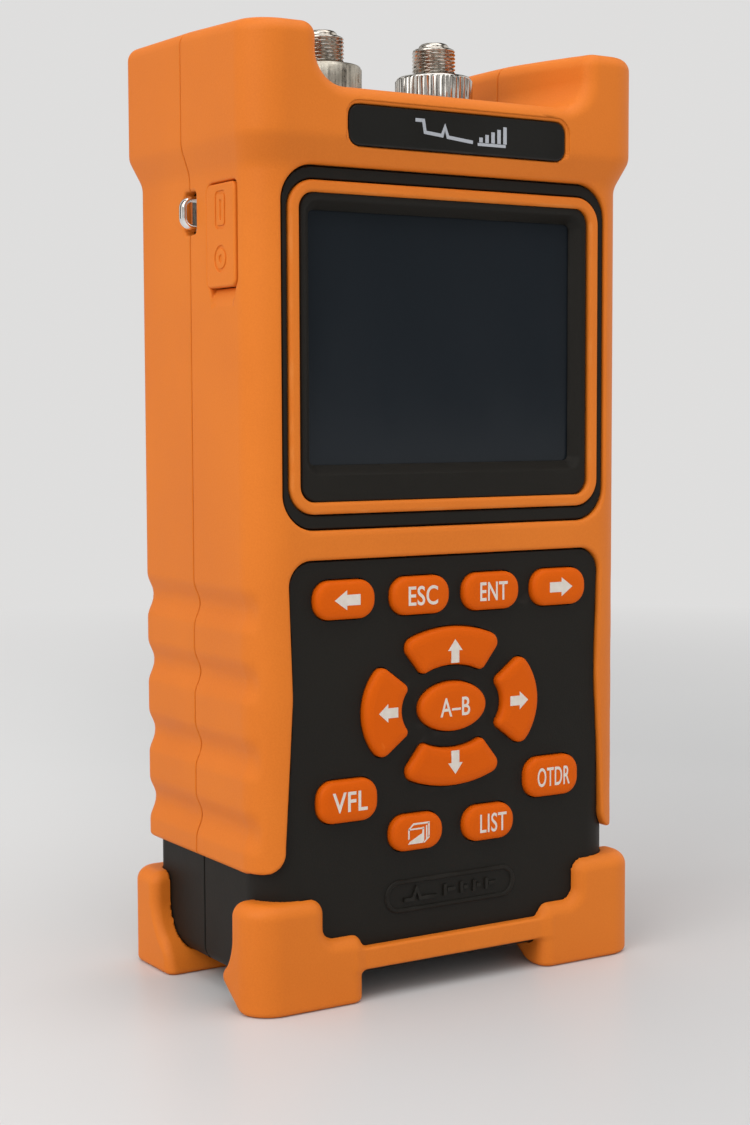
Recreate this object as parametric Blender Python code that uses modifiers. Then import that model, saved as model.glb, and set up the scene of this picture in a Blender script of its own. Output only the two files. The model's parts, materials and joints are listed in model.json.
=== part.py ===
"""Handheld optical time domain reflectometer in a two-part rubber boot.

Frame: metres, +Z up, +X to the user's right, +Y away from the user.
The origin is the middle of the footprint, and the case parts at Y = 0. Heights are written
from a level that lies LIFT above the soles of the feet, and the last step raises everything.
"""

import math

import bmesh
import bpy
from mathutils import Matrix, Vector

MM = 0.001
GAP = 0.3 * MM
FAR = 0.1
LIFT = 1.2 * MM
SOLE = -LIFT

# Hard case: two shells that part at Y = 0. The boot sits in a sunk band above the feet.
CASE_HALF_WIDTH = 44.0 * MM
CASE_FRONT = -25.4 * MM
CASE_REAR = 24.7 * MM
CASE_BOTTOM = 3.4 * MM
CASE_TOP = 178.6 * MM
CASE_EDGE = 4.5 * MM
CASE_WALL = 2.2 * MM
SUNK_HALF_WIDTH = 43.2 * MM
SUNK_FRONT = -24.3 * MM
SUNK_REAR = 24.0 * MM
SUNK_EDGE = 6.0 * MM
WINDOW_DEEP = SUNK_FRONT + 2.0 * MM
ROOM_HALF_WIDTH = 41.4 * MM
SEAM_PLANE = 1.5 * MM
SEAM_FRONT = SEAM_PLANE - GAP / 2
SEAM_REAR = SEAM_PLANE + GAP / 2

# Rubber boot: the middle of the body, and the wider bumper at the top.
BOOT_BOTTOM = 26.5 * MM
BOOT_TOP = 195.2 * MM
BOOT_HALF_WIDTH = 45.8 * MM
BOOT_FRONT = -26.4 * MM
BOOT_REAR = 26.7 * MM
BUMPER_HALF_WIDTH = 47.7 * MM
BUMPER_DEPTH = 29.2 * MM
BUMPER_FROM = 165.8 * MM
BUMPER_FULL = 170.5 * MM
BOOT_CORNER_FRONT = 8.0 * MM
BOOT_CORNER_REAR = 4.0 * MM
BOOT_TOP_EDGE = 3.5 * MM
GROOVE_CENTRES = [79.3 * MM, 65.1 * MM, 49.8 * MM, 35.0 * MM]
GROOVE_HALF = 4.9 * MM
GROOVE_DEPTH = 1.3 * MM

# Saddle between the two horns of the bumper, and the well that shows the ports.
SADDLE_HALF_WIDTH = 33.0 * MM
SADDLE_FLOOR = 181.6 * MM
SADDLE_RADIUS = 6.6 * MM
WELL_HALF_WIDTH = 29.0 * MM
WELL_FRONT = -14.0 * MM
WELL_REAR = 18.0 * MM
WELL_RADIUS = 4.0 * MM

# Display, as (half width, bottom, top, corner radius).
DISPLAY_WINDOW = (39.8 * MM, 95.1 * MM, 166.8 * MM, 7.2 * MM)
RING_OUTER = (38.1 * MM, 98.3 * MM, 163.9 * MM, 5.7 * MM)
RING_INNER = (35.65 * MM, 100.3 * MM, 162.1 * MM, 4.0 * MM)
RING_FRONT = -26.1 * MM
RING_BACK = -24.3 * MM
VIEW_AREA = (32.2 * MM, 108.0 * MM, 158.3 * MM, 0.8 * MM)
VIEW_BEVEL = (1.6 * MM, -0.4 * MM)
BEZEL_BACK = -22.8 * MM
LENS_SIZE = (33.8 * MM, 106.8 * MM, 159.8 * MM, 1.5 * MM)
LENS_BACK = -21.3 * MM
LCD_SIZE = (36.5 * MM, 102.0 * MM, 161.0 * MM, 1.0 * MM)
LCD_BACK = -17.2 * MM

# Keypad window in the boot: it is open at its bottom.
PAD_TOP = 89.2 * MM
PAD_HALF_TOP = 38.8 * MM
PAD_HALF_WAIST = 37.9 * MM
PAD_HALF_LOW = 39.6 * MM
PAD_WAIST_HEIGHT = 62.0 * MM
PAD_LOW_HEIGHT = 32.0 * MM
PAD_CORNER = 5.3 * MM
PAD_FOOT_CORNER = 5.0 * MM
PAD_BELOW = 8.0 * MM

# Keys: the cap stands out of the case, and a flange behind the wall keeps it in.
KEY_FRONT = -27.2 * MM
KEY_EDGE = 0.7 * MM
KEY_FLANGE = 0.8 * MM
KEY_CLEARANCE = 0.25 * MM
KEY_FLANGE_THICK = 0.8 * MM
WIDE_KEY = (14.1 * MM, 7.9 * MM, 3.6 * MM)
LOW_KEY = (12.8 * MM, 7.6 * MM, 3.4 * MM)
SIDE_KEY = (14.0 * MM, 8.7 * MM, 3.8 * MM)
CROSS_CENTRE = (0.0, 57.5 * MM)
CENTRE_KEY = (16.6 * MM, 10.4 * MM)
CROSS_OUTER = (21.85 * MM, 16.65 * MM)
CROSS_INNER = (12.6 * MM, 8.7 * MM)
CROSS_CORNERS = (1.9 * MM, 1.0 * MM)
UPRIGHT_SPANS = (35.2, 36.0)
SIDEWAYS_SPANS = (36.5, 32.5)
TOP_ROW = 81.1 * MM
TOP_KEYS = (-26.1 * MM, -8.0 * MM, 9.7 * MM, 27.3 * MM)
SIDE_KEYS = (25.6 * MM, 40.3 * MM)
LOW_KEYS = (9.1 * MM, 32.1 * MM)

# Relief capsule under the keys, as (half width, bottom, top, corner radius).
BADGE = (16.4 * MM, 15.3 * MM, 22.3 * MM, 3.4 * MM)
BADGE_PROUD = 0.35 * MM

# Name plate on the front of the bumper, as (half width, bottom, top, corner radius).
PLATE_SIZE = (26.5 * MM, 170.7 * MM, 178.7 * MM, 2.4 * MM)
PLATE_SHIFT = 0.4 * MM
PLATE_FRONT = -28.7 * MM
PLATE_BACK = -27.5 * MM

# Foot bumpers. Their side outlines are (depth, height, corner radius), down to the soles.
FOOT_HALF_WIDTH = 48.4 * MM
FOOT_INNER = 22.3 * MM
FOOT_STEP = 31.5 * MM
FOOT_STEP_HEIGHT = 12.6 * MM
FRONT_FOOT_TOP = 21.2 * MM
FRONT_FOOT_FACE = -28.1 * MM
FRONT_FOOT_CORNER = 8.0 * MM
FRONT_FOOT_SIDE = [
    (FRONT_FOOT_FACE, SOLE, 1.0 * MM),
    (-24.0 * MM, SOLE, 1.0 * MM),
    (-12.2 * MM, 4.8 * MM, 1.6 * MM),
    (-17.5 * MM, 9.8 * MM, 2.0 * MM),
    (-17.6 * MM, FRONT_FOOT_TOP, 2.0 * MM),
    (FRONT_FOOT_FACE, FRONT_FOOT_TOP, 3.0 * MM),
]
REAR_FOOT_TOP = 19.6 * MM
REAR_FOOT_FACE = 29.0 * MM
REAR_FOOT_CORNER = 5.0 * MM
REAR_FOOT_SIDE = [
    (REAR_FOOT_FACE, SOLE, 2.2 * MM),
    (REAR_FOOT_FACE, REAR_FOOT_TOP, 3.0 * MM),
    (17.4 * MM, REAR_FOOT_TOP, 2.0 * MM),
    (17.3 * MM, 9.0 * MM, 3.5 * MM),
    (11.2 * MM, 4.4 * MM, 2.0 * MM),
    (9.8 * MM, SOLE, 1.0 * MM),
]
FOOT_INSIDE_CORNER = 1.5 * MM
STRIP_LOW = 5.6 * MM
STRIP_HIGH = 9.8 * MM
STRIP_INSET = 0.5 * MM
STRIP_THICK = 4.5 * MM
STRIP_OVERLAP = 3.0 * MM

# Fibre ports: each adapter is held by a knurled nut on a threaded receptacle.
PORT_X = 14.2 * MM
PORT_Y = 1.9 * MM
PORT_TOP = 198.5 * MM
NUT_RADIUS = 8.45 * MM
NUT_BOTTOM = 180.5 * MM
NUT_TOP = 191.5 * MM
BARREL_RADIUS = 4.75 * MM
NOSE_RADIUS = 3.4 * MM
SLEEVE_OUTER = 1.6 * MM
SLEEVE_INNER = 1.25 * MM
NOSE_DROP = 1.4 * MM
PORT_CHAMFER = 0.5 * MM
SLEEVE_DROP = 1.0 * MM
STUB_RADIUS = 5.2 * MM
STUB_TOP = 185.0 * MM
STUB_BOTTOM = 168.0 * MM
STUB_BODY = 4.5 * MM
FLANGE_RADIUS = 7.5 * MM
FLANGE_HIGH = 178.4 * MM
COLLAR_RADIUS = 6.4 * MM
COLLAR_THICK = 1.8 * MM
LOCK_NUT_RADIUS = 7.2 * MM
LOCK_NUT_THICK = 3.0 * MM
PANEL_TOP = 176.1 * MM
PANEL_THICK = 2.6 * MM
PANEL_HALF = 36.0 * MM
PANEL_DEPTHS = (-18.0 * MM, 21.0 * MM)

# Port flap on the left side, as (front, rear, bottom, top).
FLAP = (-18.4 * MM, -6.6 * MM, 143.3 * MM, 163.7 * MM)
FLAP_OUT = -46.2 * MM
FLAP_IN = -44.2 * MM
FLAP_CORNER = 1.5 * MM

# Sockets behind the flap, as (front, rear, bottom, top).
USB = (-15.4 * MM, -9.6 * MM, 152.8 * MM, 162.4 * MM)
USB_WALL = 0.8 * MM
USB_TONGUE = 0.7 * MM
USB_BACK = -36.0 * MM
JACK = (-16.4 * MM, -8.6 * MM, 144.3 * MM, 151.9 * MM)
JACK_BORE = 3.1 * MM
JACK_PIN = 0.9 * MM
JACK_BACK = -33.0 * MM
SOCKET_FACE = -42.9 * MM

# Strap lug on the left side, on the seam.
LUG_LOW = 155.3 * MM
LUG_HIGH = 162.7 * MM
LUG_OUT = -48.3 * MM
LUG_WIRE = 0.85 * MM
LUG_HALF = 2.4 * MM
LUG_PLATE = 1.2 * MM
LUG_BEND = 0.9 * MM
LUG_INSET = 0.2 * MM
LUG_ROOT = 0.5 * MM

# Screws through the rear shell, battery bay and its door.
SCREW_X = 35.8 * MM
SCREW_HEIGHTS = [15.0 * MM, 169.0 * MM]
SCREW_HEAD = 2.7 * MM
SCREW_SHANK = 1.5 * MM
BOSS_RADIUS = 4.2 * MM
BOSS_ROOT = 0.4 * MM
BAY = (26.0 * MM, 45.0 * MM, 91.0 * MM)
DOOR = (29.4 * MM, 36.3 * MM, 93.7 * MM, 3.0 * MM)
DOOR_SCREW_X = 20.0 * MM
DOOR_SCREW_HEIGHT = 40.6 * MM
DOOR_SCREW_HEAD = 2.2 * MM
DOOR_SCREW_SHANK = 1.2 * MM
DOOR_SCREW_TIP = 20.0 * MM
DOOR_SEAT = 0.9 * MM
CASE_SCREW_TIP = -13.0 * MM
CASE_SCREW_SUNK = 0.9 * MM
LABEL = (24.0 * MM, 108.0 * MM, 146.0 * MM, 2.0 * MM)
LABEL_SUNK = 0.6 * MM

# Pieces inside the case, as half widths or (left, right), then depths and heights.
MAT_SIZE = (37.0 * MM, 24.5 * MM, 87.5 * MM, 3.0 * MM)
MAT_BEHIND_KEYS = 1.2 * MM
MAT_THICK = 1.6 * MM
KEY_BOARD_SIZE = (38.0 * MM, 22.5 * MM, 88.5 * MM, 1.0 * MM)
BOARD_THICK = 1.6 * MM
MAIN_BOARD_LOW = (-31.0 * MM, -8.5 * MM, 12.0 * MM)
MAIN_BOARD_HIGH = (31.0 * MM, -8.5 * MM + BOARD_THICK, 160.0 * MM)
OPTICAL_LOW = (-26.0 * MM, -6.4 * MM, 112.0 * MM)
OPTICAL_HIGH = (6.0 * MM, 9.0 * MM, 158.0 * MM)
LASER_RADIUS = 3.6 * MM
LASER_HEIGHTS = (130.0 * MM, 160.0 * MM)
PACK_CLEARANCE = 0.6 * MM
PACK_DEPTHS = (4.0 * MM, 24.3 * MM)
PACK_EDGE = 2.5 * MM
CONTACTS_LOW = (-7.0 * MM, 8.0 * MM, 40.0 * MM)
CONTACTS_HIGH = (7.0 * MM, 13.0 * MM, 45.0 * MM)
BUZZER_CENTRE = (26.0 * MM, 104.0 * MM)
BUZZER_RADIUS = 4.5 * MM
BUZZER_DEPTHS = (-6.4 * MM, -2.4 * MM)

ORANGE = (0.79, 0.20, 0.025)
KEY_ORANGE = (0.70, 0.13, 0.012)
BLACK = (0.020, 0.018, 0.015)
GLASS = (0.010, 0.014, 0.018)
NICKEL = (0.62, 0.60, 0.56)
BOARD_GREEN = (0.02, 0.11, 0.05)
STEEL = (0.45, 0.45, 0.46)
PALE = (0.62, 0.62, 0.60)
CERAMIC = (0.80, 0.78, 0.72)
BLUE = (0.03, 0.07, 0.20)


def clear_scene():
    for obj in list(bpy.data.objects):
        bpy.data.objects.remove(obj)


def new_collection(name):
    made = bpy.data.collections.new(name)
    bpy.context.scene.collection.children.link(made)
    return made


clear_scene()
PARTS = new_collection("otdr_handheld")
CUTTERS = new_collection("cutters")
CUTTERS.hide_render = True


def material(name, colour, roughness, metallic=0.0):
    made = bpy.data.materials.new(name)
    made.use_nodes = True
    shader = made.node_tree.nodes["Principled BSDF"]
    shader.inputs["Base Color"].default_value = (*colour, 1.0)
    shader.inputs["Roughness"].default_value = roughness
    shader.inputs["Metallic"].default_value = metallic
    return made


RUBBER = material("orange_rubber", ORANGE, 0.62)
KEY_PLASTIC = material("key_plastic", KEY_ORANGE, 0.42)
CASE_PLASTIC = material("black_plastic", BLACK, 0.55)
SCREEN = material("screen_glass", GLASS, 0.08)
PLATED = material("nickel_plate", NICKEL, 0.22, 1.0)
FIBREGLASS = material("circuit_board", BOARD_GREEN, 0.5)
BARE_STEEL = material("bare_steel", STEEL, 0.35, 1.0)
PALE_PLASTIC = material("pale_plastic", PALE, 0.5)
ZIRCONIA = material("zirconia", CERAMIC, 0.3)
CELL_WRAP = material("cell_wrap", BLUE, 0.45)


def finish(obj, look):
    """Puts an object with the parts, with its material and smooth rounds, or with the cutters."""
    for used in list(obj.users_collection):
        used.objects.unlink(obj)
    (PARTS if look else CUTTERS).objects.link(obj)
    obj.hide_render = look is None
    obj.display_type = "TEXTURED" if look else "WIRE"
    if look:
        obj.data.materials.clear()
        obj.data.materials.append(look)
        obj.data.shade_smooth()
        obj.data.set_sharp_from_angle(angle=math.radians(35))
    return obj


def box(name, low, high, look=None, edge=0.0, segments=2):
    """A box between two corners, with its origin at its middle and its edges rounded."""
    low, high = Vector(low), Vector(high)
    work = bmesh.new()
    bmesh.ops.create_cube(work, size=1.0)
    bmesh.ops.scale(work, vec=high - low, verts=work.verts)
    mesh = bpy.data.meshes.new(name)
    work.to_mesh(mesh)
    work.free()
    obj = bpy.data.objects.new(name, mesh)
    obj.location = (low + high) / 2
    finish(obj, look)
    if edge:
        bevel = obj.modifiers.new("edges", "BEVEL")
        bevel.width = edge
        bevel.segments = segments
    return obj


def arc(centre, radius, start, end, steps):
    """Points on an arc of a circle or an ellipse, with its angles in degrees."""
    wide, high = radius if isinstance(radius, tuple) else (radius, radius)
    turns = [math.radians(start + (end - start) * i / steps) for i in range(steps + 1)]
    return [(centre[0] + wide * math.cos(a), centre[1] + high * math.sin(a)) for a in turns]


def rounded_outline(points, steps=3):
    """A closed outline from (u, v, radius) corners, each corner a round one."""
    outline = []
    for i, (u, v, radius) in enumerate(points):
        here = Vector((u, v))
        if radius <= 0:
            outline.append((u, v))
            continue
        before = (Vector(points[i - 1][:2]) - here).normalized()
        after = (Vector(points[(i + 1) % len(points)][:2]) - here).normalized()
        half = before.angle(after) / 2
        middle = here + (before + after).normalized() * radius / math.sin(half)
        first = here + before * radius / math.tan(half) - middle
        last = here + after * radius / math.tan(half) - middle
        turn = first.angle_signed(last)
        for step in range(steps + 1):
            spot = middle + Matrix.Rotation(-turn * step / steps, 2) @ first
            outline.append((spot.x, spot.y))
    return outline


def panel_outline(size, grow=0.0, steps=3):
    """A rounded rectangle centred on X = 0, from (half width, bottom, top, radius)."""
    half, low, high = size[0] + grow, size[1] - grow, size[2] + grow
    radius = size[3] + grow
    corners = [(-half, low), (half, low), (half, high), (-half, high)]
    return rounded_outline([(*corner, radius) for corner in corners], steps)


def key_outline(size, centre, steps=3):
    wide, high, radius = size
    left, right = centre[0] - wide / 2, centre[0] + wide / 2
    low, top = centre[1] - high / 2, centre[1] + high / 2
    corners = [(left, low), (right, low), (right, top), (left, top)]
    return rounded_outline([(*corner, radius) for corner in corners], steps)


def grown(outline, amount):
    """The outline moved outwards by an amount. It runs anticlockwise."""
    moved = []
    for i, spot in enumerate(outline):
        here = Vector(spot)
        along = (here - Vector(outline[i - 1])).normalized()
        onward = (Vector(outline[(i + 1) % len(outline)]) - here).normalized()
        first = Vector((along.y, -along.x))
        second = Vector((onward.y, -onward.x))
        middle = (first + second).normalized()
        moved.append(tuple(here + middle * amount / max(middle.dot(first), 0.5)))
    return moved


FACES = {
    "Y": lambda u, v, depth: Vector((u, depth, v)),
    "X": lambda u, v, depth: Vector((depth, u, v)),
    "Z": lambda u, v, depth: Vector((u, v, depth)),
}


def tower(name, rings, look=None, axis="Y"):
    """A solid through rings of equal length, given as (outline, depth along the axis)."""
    work = bmesh.new()
    loops = []
    for outline, depth in rings:
        loops.append([work.verts.new(FACES[axis](u, v, depth)) for u, v in outline])
    for ring in (loops[0], loops[-1]):
        work.faces.new(ring)
    for lower, upper in zip(loops, loops[1:]):
        for i in range(len(lower)):
            work.faces.new((lower[i - 1], lower[i], upper[i], upper[i - 1]))
    bmesh.ops.recalc_face_normals(work, faces=work.faces)
    middle = sum((v.co for v in work.verts), Vector()) / len(work.verts)
    bmesh.ops.translate(work, vec=-middle, verts=work.verts)
    mesh = bpy.data.meshes.new(name)
    work.to_mesh(mesh)
    work.free()
    obj = bpy.data.objects.new(name, mesh)
    obj.location = middle
    return finish(obj, look)


def slab(name, outline, start, end, look=None, axis="Y"):
    return tower(name, [(outline, start), (outline, end)], look, axis)


def turned(name, profile, look=None, steps=32, place=(0, 0, 0)):
    """A turned solid about Z from a closed (radius, height) profile, down its outer side first."""
    work = bmesh.new()
    spots = [work.verts.new((radius, 0, height)) for radius, height in profile]
    for i in range(len(spots)):
        if max(spots[i - 1].co.x, spots[i].co.x) > 0:
            work.edges.new((spots[i - 1], spots[i]))
    mesh = bpy.data.meshes.new(name)
    work.to_mesh(mesh)
    work.free()
    obj = bpy.data.objects.new(name, mesh)
    obj.location = place
    finish(obj, look)
    screw = obj.modifiers.new("turn", "SCREW")
    screw.steps = steps
    screw.render_steps = steps
    screw.use_merge_vertices = True
    screw.merge_threshold = 0.00001
    return obj


def combine(obj, other, operation="DIFFERENCE"):
    boolean = obj.modifiers.new(other.name, "BOOLEAN")
    boolean.operation = operation
    boolean.object = other
    boolean.solver = "EXACT"
    return obj


def cut(obj, *cutters):
    for cutter in cutters:
        combine(obj, cutter)
    return obj


def join(obj, *others):
    for other in others:
        combine(obj, other, "UNION")
    return obj


def peg(name, spot, radius, front, rear, steps=12):
    """A round cutter or boss along Y, centred on (x, z)."""
    outline = arc(spot, radius, 0, 360 - 360 / steps, steps - 1)
    return slab(name, outline, front, rear)


def depth_band(name, front, rear):
    """A cutter that reaches well past the object, from one depth to another."""
    return box(name, (-FAR, front, -FAR), (FAR, rear, CASE_TOP + FAR))


def well_cutter(name, bottom):
    """What opens the top over the ports, from a height upwards."""
    corners = [
        (-WELL_HALF_WIDTH, WELL_FRONT, WELL_RADIUS),
        (WELL_HALF_WIDTH, WELL_FRONT, WELL_RADIUS),
        (WELL_HALF_WIDTH, WELL_REAR, WELL_RADIUS),
        (-WELL_HALF_WIDTH, WELL_REAR, WELL_RADIUS),
    ]
    return slab(name, rounded_outline(corners), bottom, CASE_TOP + FAR, axis="Z")


REAR_HALF_SPACE = depth_band("rear_space", SEAM_FRONT, FAR)
FRONT_HALF_SPACE = depth_band("front_space", -FAR, SEAM_REAR)
PANEL_HOLE = well_cutter("panel_hole", CASE_TOP - CASE_WALL - MM)


# ---------------------------------------------------------------- keys


def cross_key(direction):
    """An arc-shaped key of the ring round the middle key, in degrees from +X."""
    outer_span, inner_span = UPRIGHT_SPANS if direction in (90, 270) else SIDEWAYS_SPANS
    outer = arc(CROSS_CENTRE, CROSS_OUTER, direction - outer_span, direction + outer_span, 6)
    inner = arc(CROSS_CENTRE, CROSS_INNER, direction + inner_span, direction - inner_span, 4)
    outside, inside = CROSS_CORNERS
    radii = [outside] + [0.0] * 5 + [outside, inside] + [0.0] * 3 + [inside]
    spots = [(*spot, radius) for spot, radius in zip(outer + inner, radii)]
    return rounded_outline(spots, 2)


def key_outlines():
    centre_ellipse = (CENTRE_KEY[0] / 2, CENTRE_KEY[1] / 2)
    return {
        "key_left": key_outline(WIDE_KEY, (TOP_KEYS[0], TOP_ROW)),
        "key_escape": key_outline(WIDE_KEY, (TOP_KEYS[1], TOP_ROW)),
        "key_enter": key_outline(WIDE_KEY, (TOP_KEYS[2], TOP_ROW)),
        "key_right": key_outline(WIDE_KEY, (TOP_KEYS[3], TOP_ROW)),
        "key_cross_up": cross_key(90),
        "key_cross_down": cross_key(270),
        "key_cross_left": cross_key(180),
        "key_cross_right": cross_key(0),
        "key_cursor": arc(CROSS_CENTRE, centre_ellipse, 0, 345, 23),
        "key_vfl": key_outline(SIDE_KEY, (-SIDE_KEYS[0], SIDE_KEYS[1])),
        "key_otdr": key_outline(SIDE_KEY, SIDE_KEYS),
        "key_file": key_outline(LOW_KEY, (-LOW_KEYS[0], LOW_KEYS[1])),
        "key_list": key_outline(LOW_KEY, LOW_KEYS),
    }


KEYS = key_outlines()


def make_keys():
    wall_back = CASE_FRONT + CASE_WALL
    flange_front = wall_back + GAP
    for name, outline in KEYS.items():
        rings = [
            (grown(outline, -KEY_EDGE), KEY_FRONT),
            (outline, KEY_FRONT + KEY_EDGE),
            (outline, flange_front),
            (grown(outline, KEY_FLANGE), flange_front),
            (grown(outline, KEY_FLANGE), flange_front + KEY_FLANGE_THICK),
        ]
        tower(name, rings, KEY_PLASTIC)


def key_holes():
    front, back = CASE_FRONT - MM, CASE_FRONT + CASE_WALL + MM
    return [
        slab(f"{name}_hole", grown(outline, KEY_CLEARANCE), front, back)
        for name, outline in KEYS.items()
    ]


# ---------------------------------------------------------------- case


def case_body(name, grow=0.0):
    low = (-CASE_HALF_WIDTH - grow, CASE_FRONT - grow, CASE_BOTTOM - grow)
    high = (CASE_HALF_WIDTH + grow, CASE_REAR + grow, CASE_TOP + grow)
    return box(name, low, high, edge=CASE_EDGE + grow, segments=3)


def pad_outline(grow=0.0):
    """The keypad window in the boot's front: its sides draw in to a waist."""
    wide = PAD_HALF_LOW + PAD_BELOW + grow
    corners = [
        (-wide, BOOT_BOTTOM - PAD_BELOW, 0.0),
        (wide, BOOT_BOTTOM - PAD_BELOW, 0.0),
        (wide, BOOT_BOTTOM + grow, 0.0),
        (PAD_HALF_LOW + grow, BOOT_BOTTOM + grow, PAD_FOOT_CORNER),
        (PAD_HALF_LOW + grow, PAD_LOW_HEIGHT, 0.0),
        (PAD_HALF_WAIST + grow, PAD_WAIST_HEIGHT, 0.0),
        (PAD_HALF_TOP + grow, PAD_TOP + grow, PAD_CORNER),
        (-PAD_HALF_TOP - grow, PAD_TOP + grow, PAD_CORNER),
        (-PAD_HALF_WAIST - grow, PAD_WAIST_HEIGHT, 0.0),
        (-PAD_HALF_LOW - grow, PAD_LOW_HEIGHT, 0.0),
        (-PAD_HALF_LOW - grow, BOOT_BOTTOM + grow, PAD_FOOT_CORNER),
        (-wide, BOOT_BOTTOM + grow, 0.0),
    ]
    return rounded_outline(corners, 4)


def sunk_body(name, grow=0.0):
    low = (-SUNK_HALF_WIDTH - grow, SUNK_FRONT - grow, SOLE)
    high = (SUNK_HALF_WIDTH + grow, SUNK_REAR + grow, CASE_TOP + grow)
    return box(name, low, high, edge=SUNK_EDGE + grow, segments=3)


def sunk_cutter(name):
    """What the sunk band takes off the case: all but its core and two raised panels."""
    cutter = box(name, (-FAR, -FAR, BOOT_BOTTOM - GAP), (FAR, FAR, CASE_TOP + FAR))
    deep = WINDOW_DEEP - GAP
    display = slab(f"{name}_display", panel_outline(DISPLAY_WINDOW, -GAP, 4), -2 * FAR, deep)
    pad = slab(f"{name}_pad", pad_outline(-GAP), -2 * FAR, deep)
    return cut(cutter, sunk_body(f"{name}_core"), display, pad)


def front_shell():
    shell = case_body("front_case")
    wall = CASE_WALL
    low = (-ROOM_HALF_WIDTH, CASE_FRONT + wall, CASE_BOTTOM + wall)
    high = (ROOM_HALF_WIDTH, FAR, CASE_TOP - wall)
    cut(shell, REAR_HALF_SPACE, sunk_cutter("sunk_front"), box("front_room", low, high))
    for number, (x, z) in enumerate(screw_spots()):
        front, rear = CASE_FRONT + wall - BOSS_ROOT, SEAM_FRONT
        join(shell, peg(f"front_boss_{number}", (x, z), BOSS_RADIUS, front, rear))
        cut(shell, peg(f"front_pilot_{number}", (x, z), SCREW_SHANK + GAP, -14 * MM, FAR, 8))
    ring_pocket = slab("ring_pocket", panel_outline(RING_OUTER, GAP, 4), -FAR, RING_BACK + GAP)
    view_hole = slab("view_hole", panel_outline(RING_INNER, 0.0, 4), -FAR, LENS_BACK + MM)
    cut(shell, ring_pocket, view_hole, PANEL_HOLE, *key_holes(), *socket_holes())
    badge_front = CASE_FRONT - BADGE_PROUD
    join(shell, slab("badge", panel_outline(BADGE, 0.0, 4), badge_front, CASE_FRONT + MM))
    return finish(shell, CASE_PLASTIC)


def rear_shell():
    shell = case_body("rear_case")
    wall = CASE_WALL
    low = (-ROOM_HALF_WIDTH, -FAR, CASE_BOTTOM + wall)
    high = (ROOM_HALF_WIDTH, CASE_REAR - wall, CASE_TOP - wall)
    cut(shell, FRONT_HALF_SPACE, sunk_cutter("sunk_rear"), box("rear_room", low, high), PANEL_HOLE)
    half, low_edge, high_edge = BAY
    cut(shell, box("bay_hole", (-half, 10 * MM, low_edge), (half, FAR, high_edge)))
    for number, (x, z) in enumerate(screw_spots()):
        front, rear = SEAM_REAR, CASE_REAR - wall + BOSS_ROOT
        join(shell, peg(f"rear_boss_{number}", (x, z), BOSS_RADIUS, front, rear))
        cut(shell, peg(f"rear_pilot_{number}", (x, z), SCREW_SHANK + GAP, -FAR, FAR, 8))
        well = peg(f"rear_well_{number}", (x, z), SCREW_HEAD + GAP, CASE_REAR - 3 * MM, FAR)
        cut(shell, well)
    for side in (-1, 1):
        spot = (side * DOOR_SCREW_X, DOOR_SCREW_HEIGHT)
        cut(shell, peg(f"door_pilot_{side}", spot, DOOR_SCREW_SHANK + GAP, 15 * MM, FAR, 8))
    return finish(shell, CASE_PLASTIC)


def screw_spots():
    return [(side * SCREW_X, height) for height in SCREW_HEIGHTS for side in (-1, 1)]


def socket_holes():
    """Holes through the left wall of the front shell for the two sockets."""
    reach = (-CASE_HALF_WIDTH - MM, -ROOM_HALF_WIDTH + MM)
    return [
        box(f"socket_hole_{y0}", (reach[0], y0 - GAP, z0 - GAP), (reach[1], y1 + GAP, z1 + GAP))
        for y0, y1, z0, z1 in (USB, JACK)
    ]


# ---------------------------------------------------------------- boot


def groove_depth(height):
    depth = 0.0
    for centre in GROOVE_CENTRES:
        away = abs(height - centre) / GROOVE_HALF
        if away < 1.0:
            depth = GROOVE_DEPTH * (0.5 + 0.5 * math.cos(math.pi * away))
    return depth


def boot_ring(height, flare, inset):
    """The boot's outline at a height: flare 0 is the body, and 1 is the bumper."""
    half = BOOT_HALF_WIDTH + flare * (BUMPER_HALF_WIDTH - BOOT_HALF_WIDTH) - inset
    front = BOOT_FRONT - flare * (BUMPER_DEPTH + BOOT_FRONT) + inset
    rear = BOOT_REAR + flare * (BUMPER_DEPTH - BOOT_REAR) - inset
    near, far = BOOT_CORNER_FRONT - inset * 0.6, BOOT_CORNER_REAR - inset * 0.6
    corners = [(-half, front, near), (half, front, near), (half, rear, far), (-half, rear, far)]
    depth = groove_depth(height)
    outline = []
    for u, v in rounded_outline(corners, 3):
        side = max(0.0, (abs(u) - half + near) / near)
        outline.append((u - math.copysign(depth * side, u), v))
    return outline


def boot_body(name):
    """The boot's outer shape: grooves in its grip, and a bumper that flares out above."""
    heights = [BOOT_BOTTOM, PAD_TOP, BUMPER_FROM, BUMPER_FULL, BOOT_TOP - BOOT_TOP_EDGE]
    for centre in GROOVE_CENTRES:
        heights += [centre - GROOVE_HALF, centre, centre + GROOVE_HALF]
    rings = []
    for height in sorted(heights):
        flare = (height - BUMPER_FROM) / (BUMPER_FULL - BUMPER_FROM)
        rings.append((boot_ring(height, min(max(flare, 0.0), 1.0), 0.0), height))
    for share in (0.5, 1.0):
        drop = BOOT_TOP_EDGE * (1 - math.sin(share * math.pi / 2))
        inset = BOOT_TOP_EDGE * (1 - math.cos(share * math.pi / 2))
        rings.append((boot_ring(BOOT_TOP, 1.0, inset), BOOT_TOP - drop))
    return tower(name, rings, None, "Z")


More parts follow.
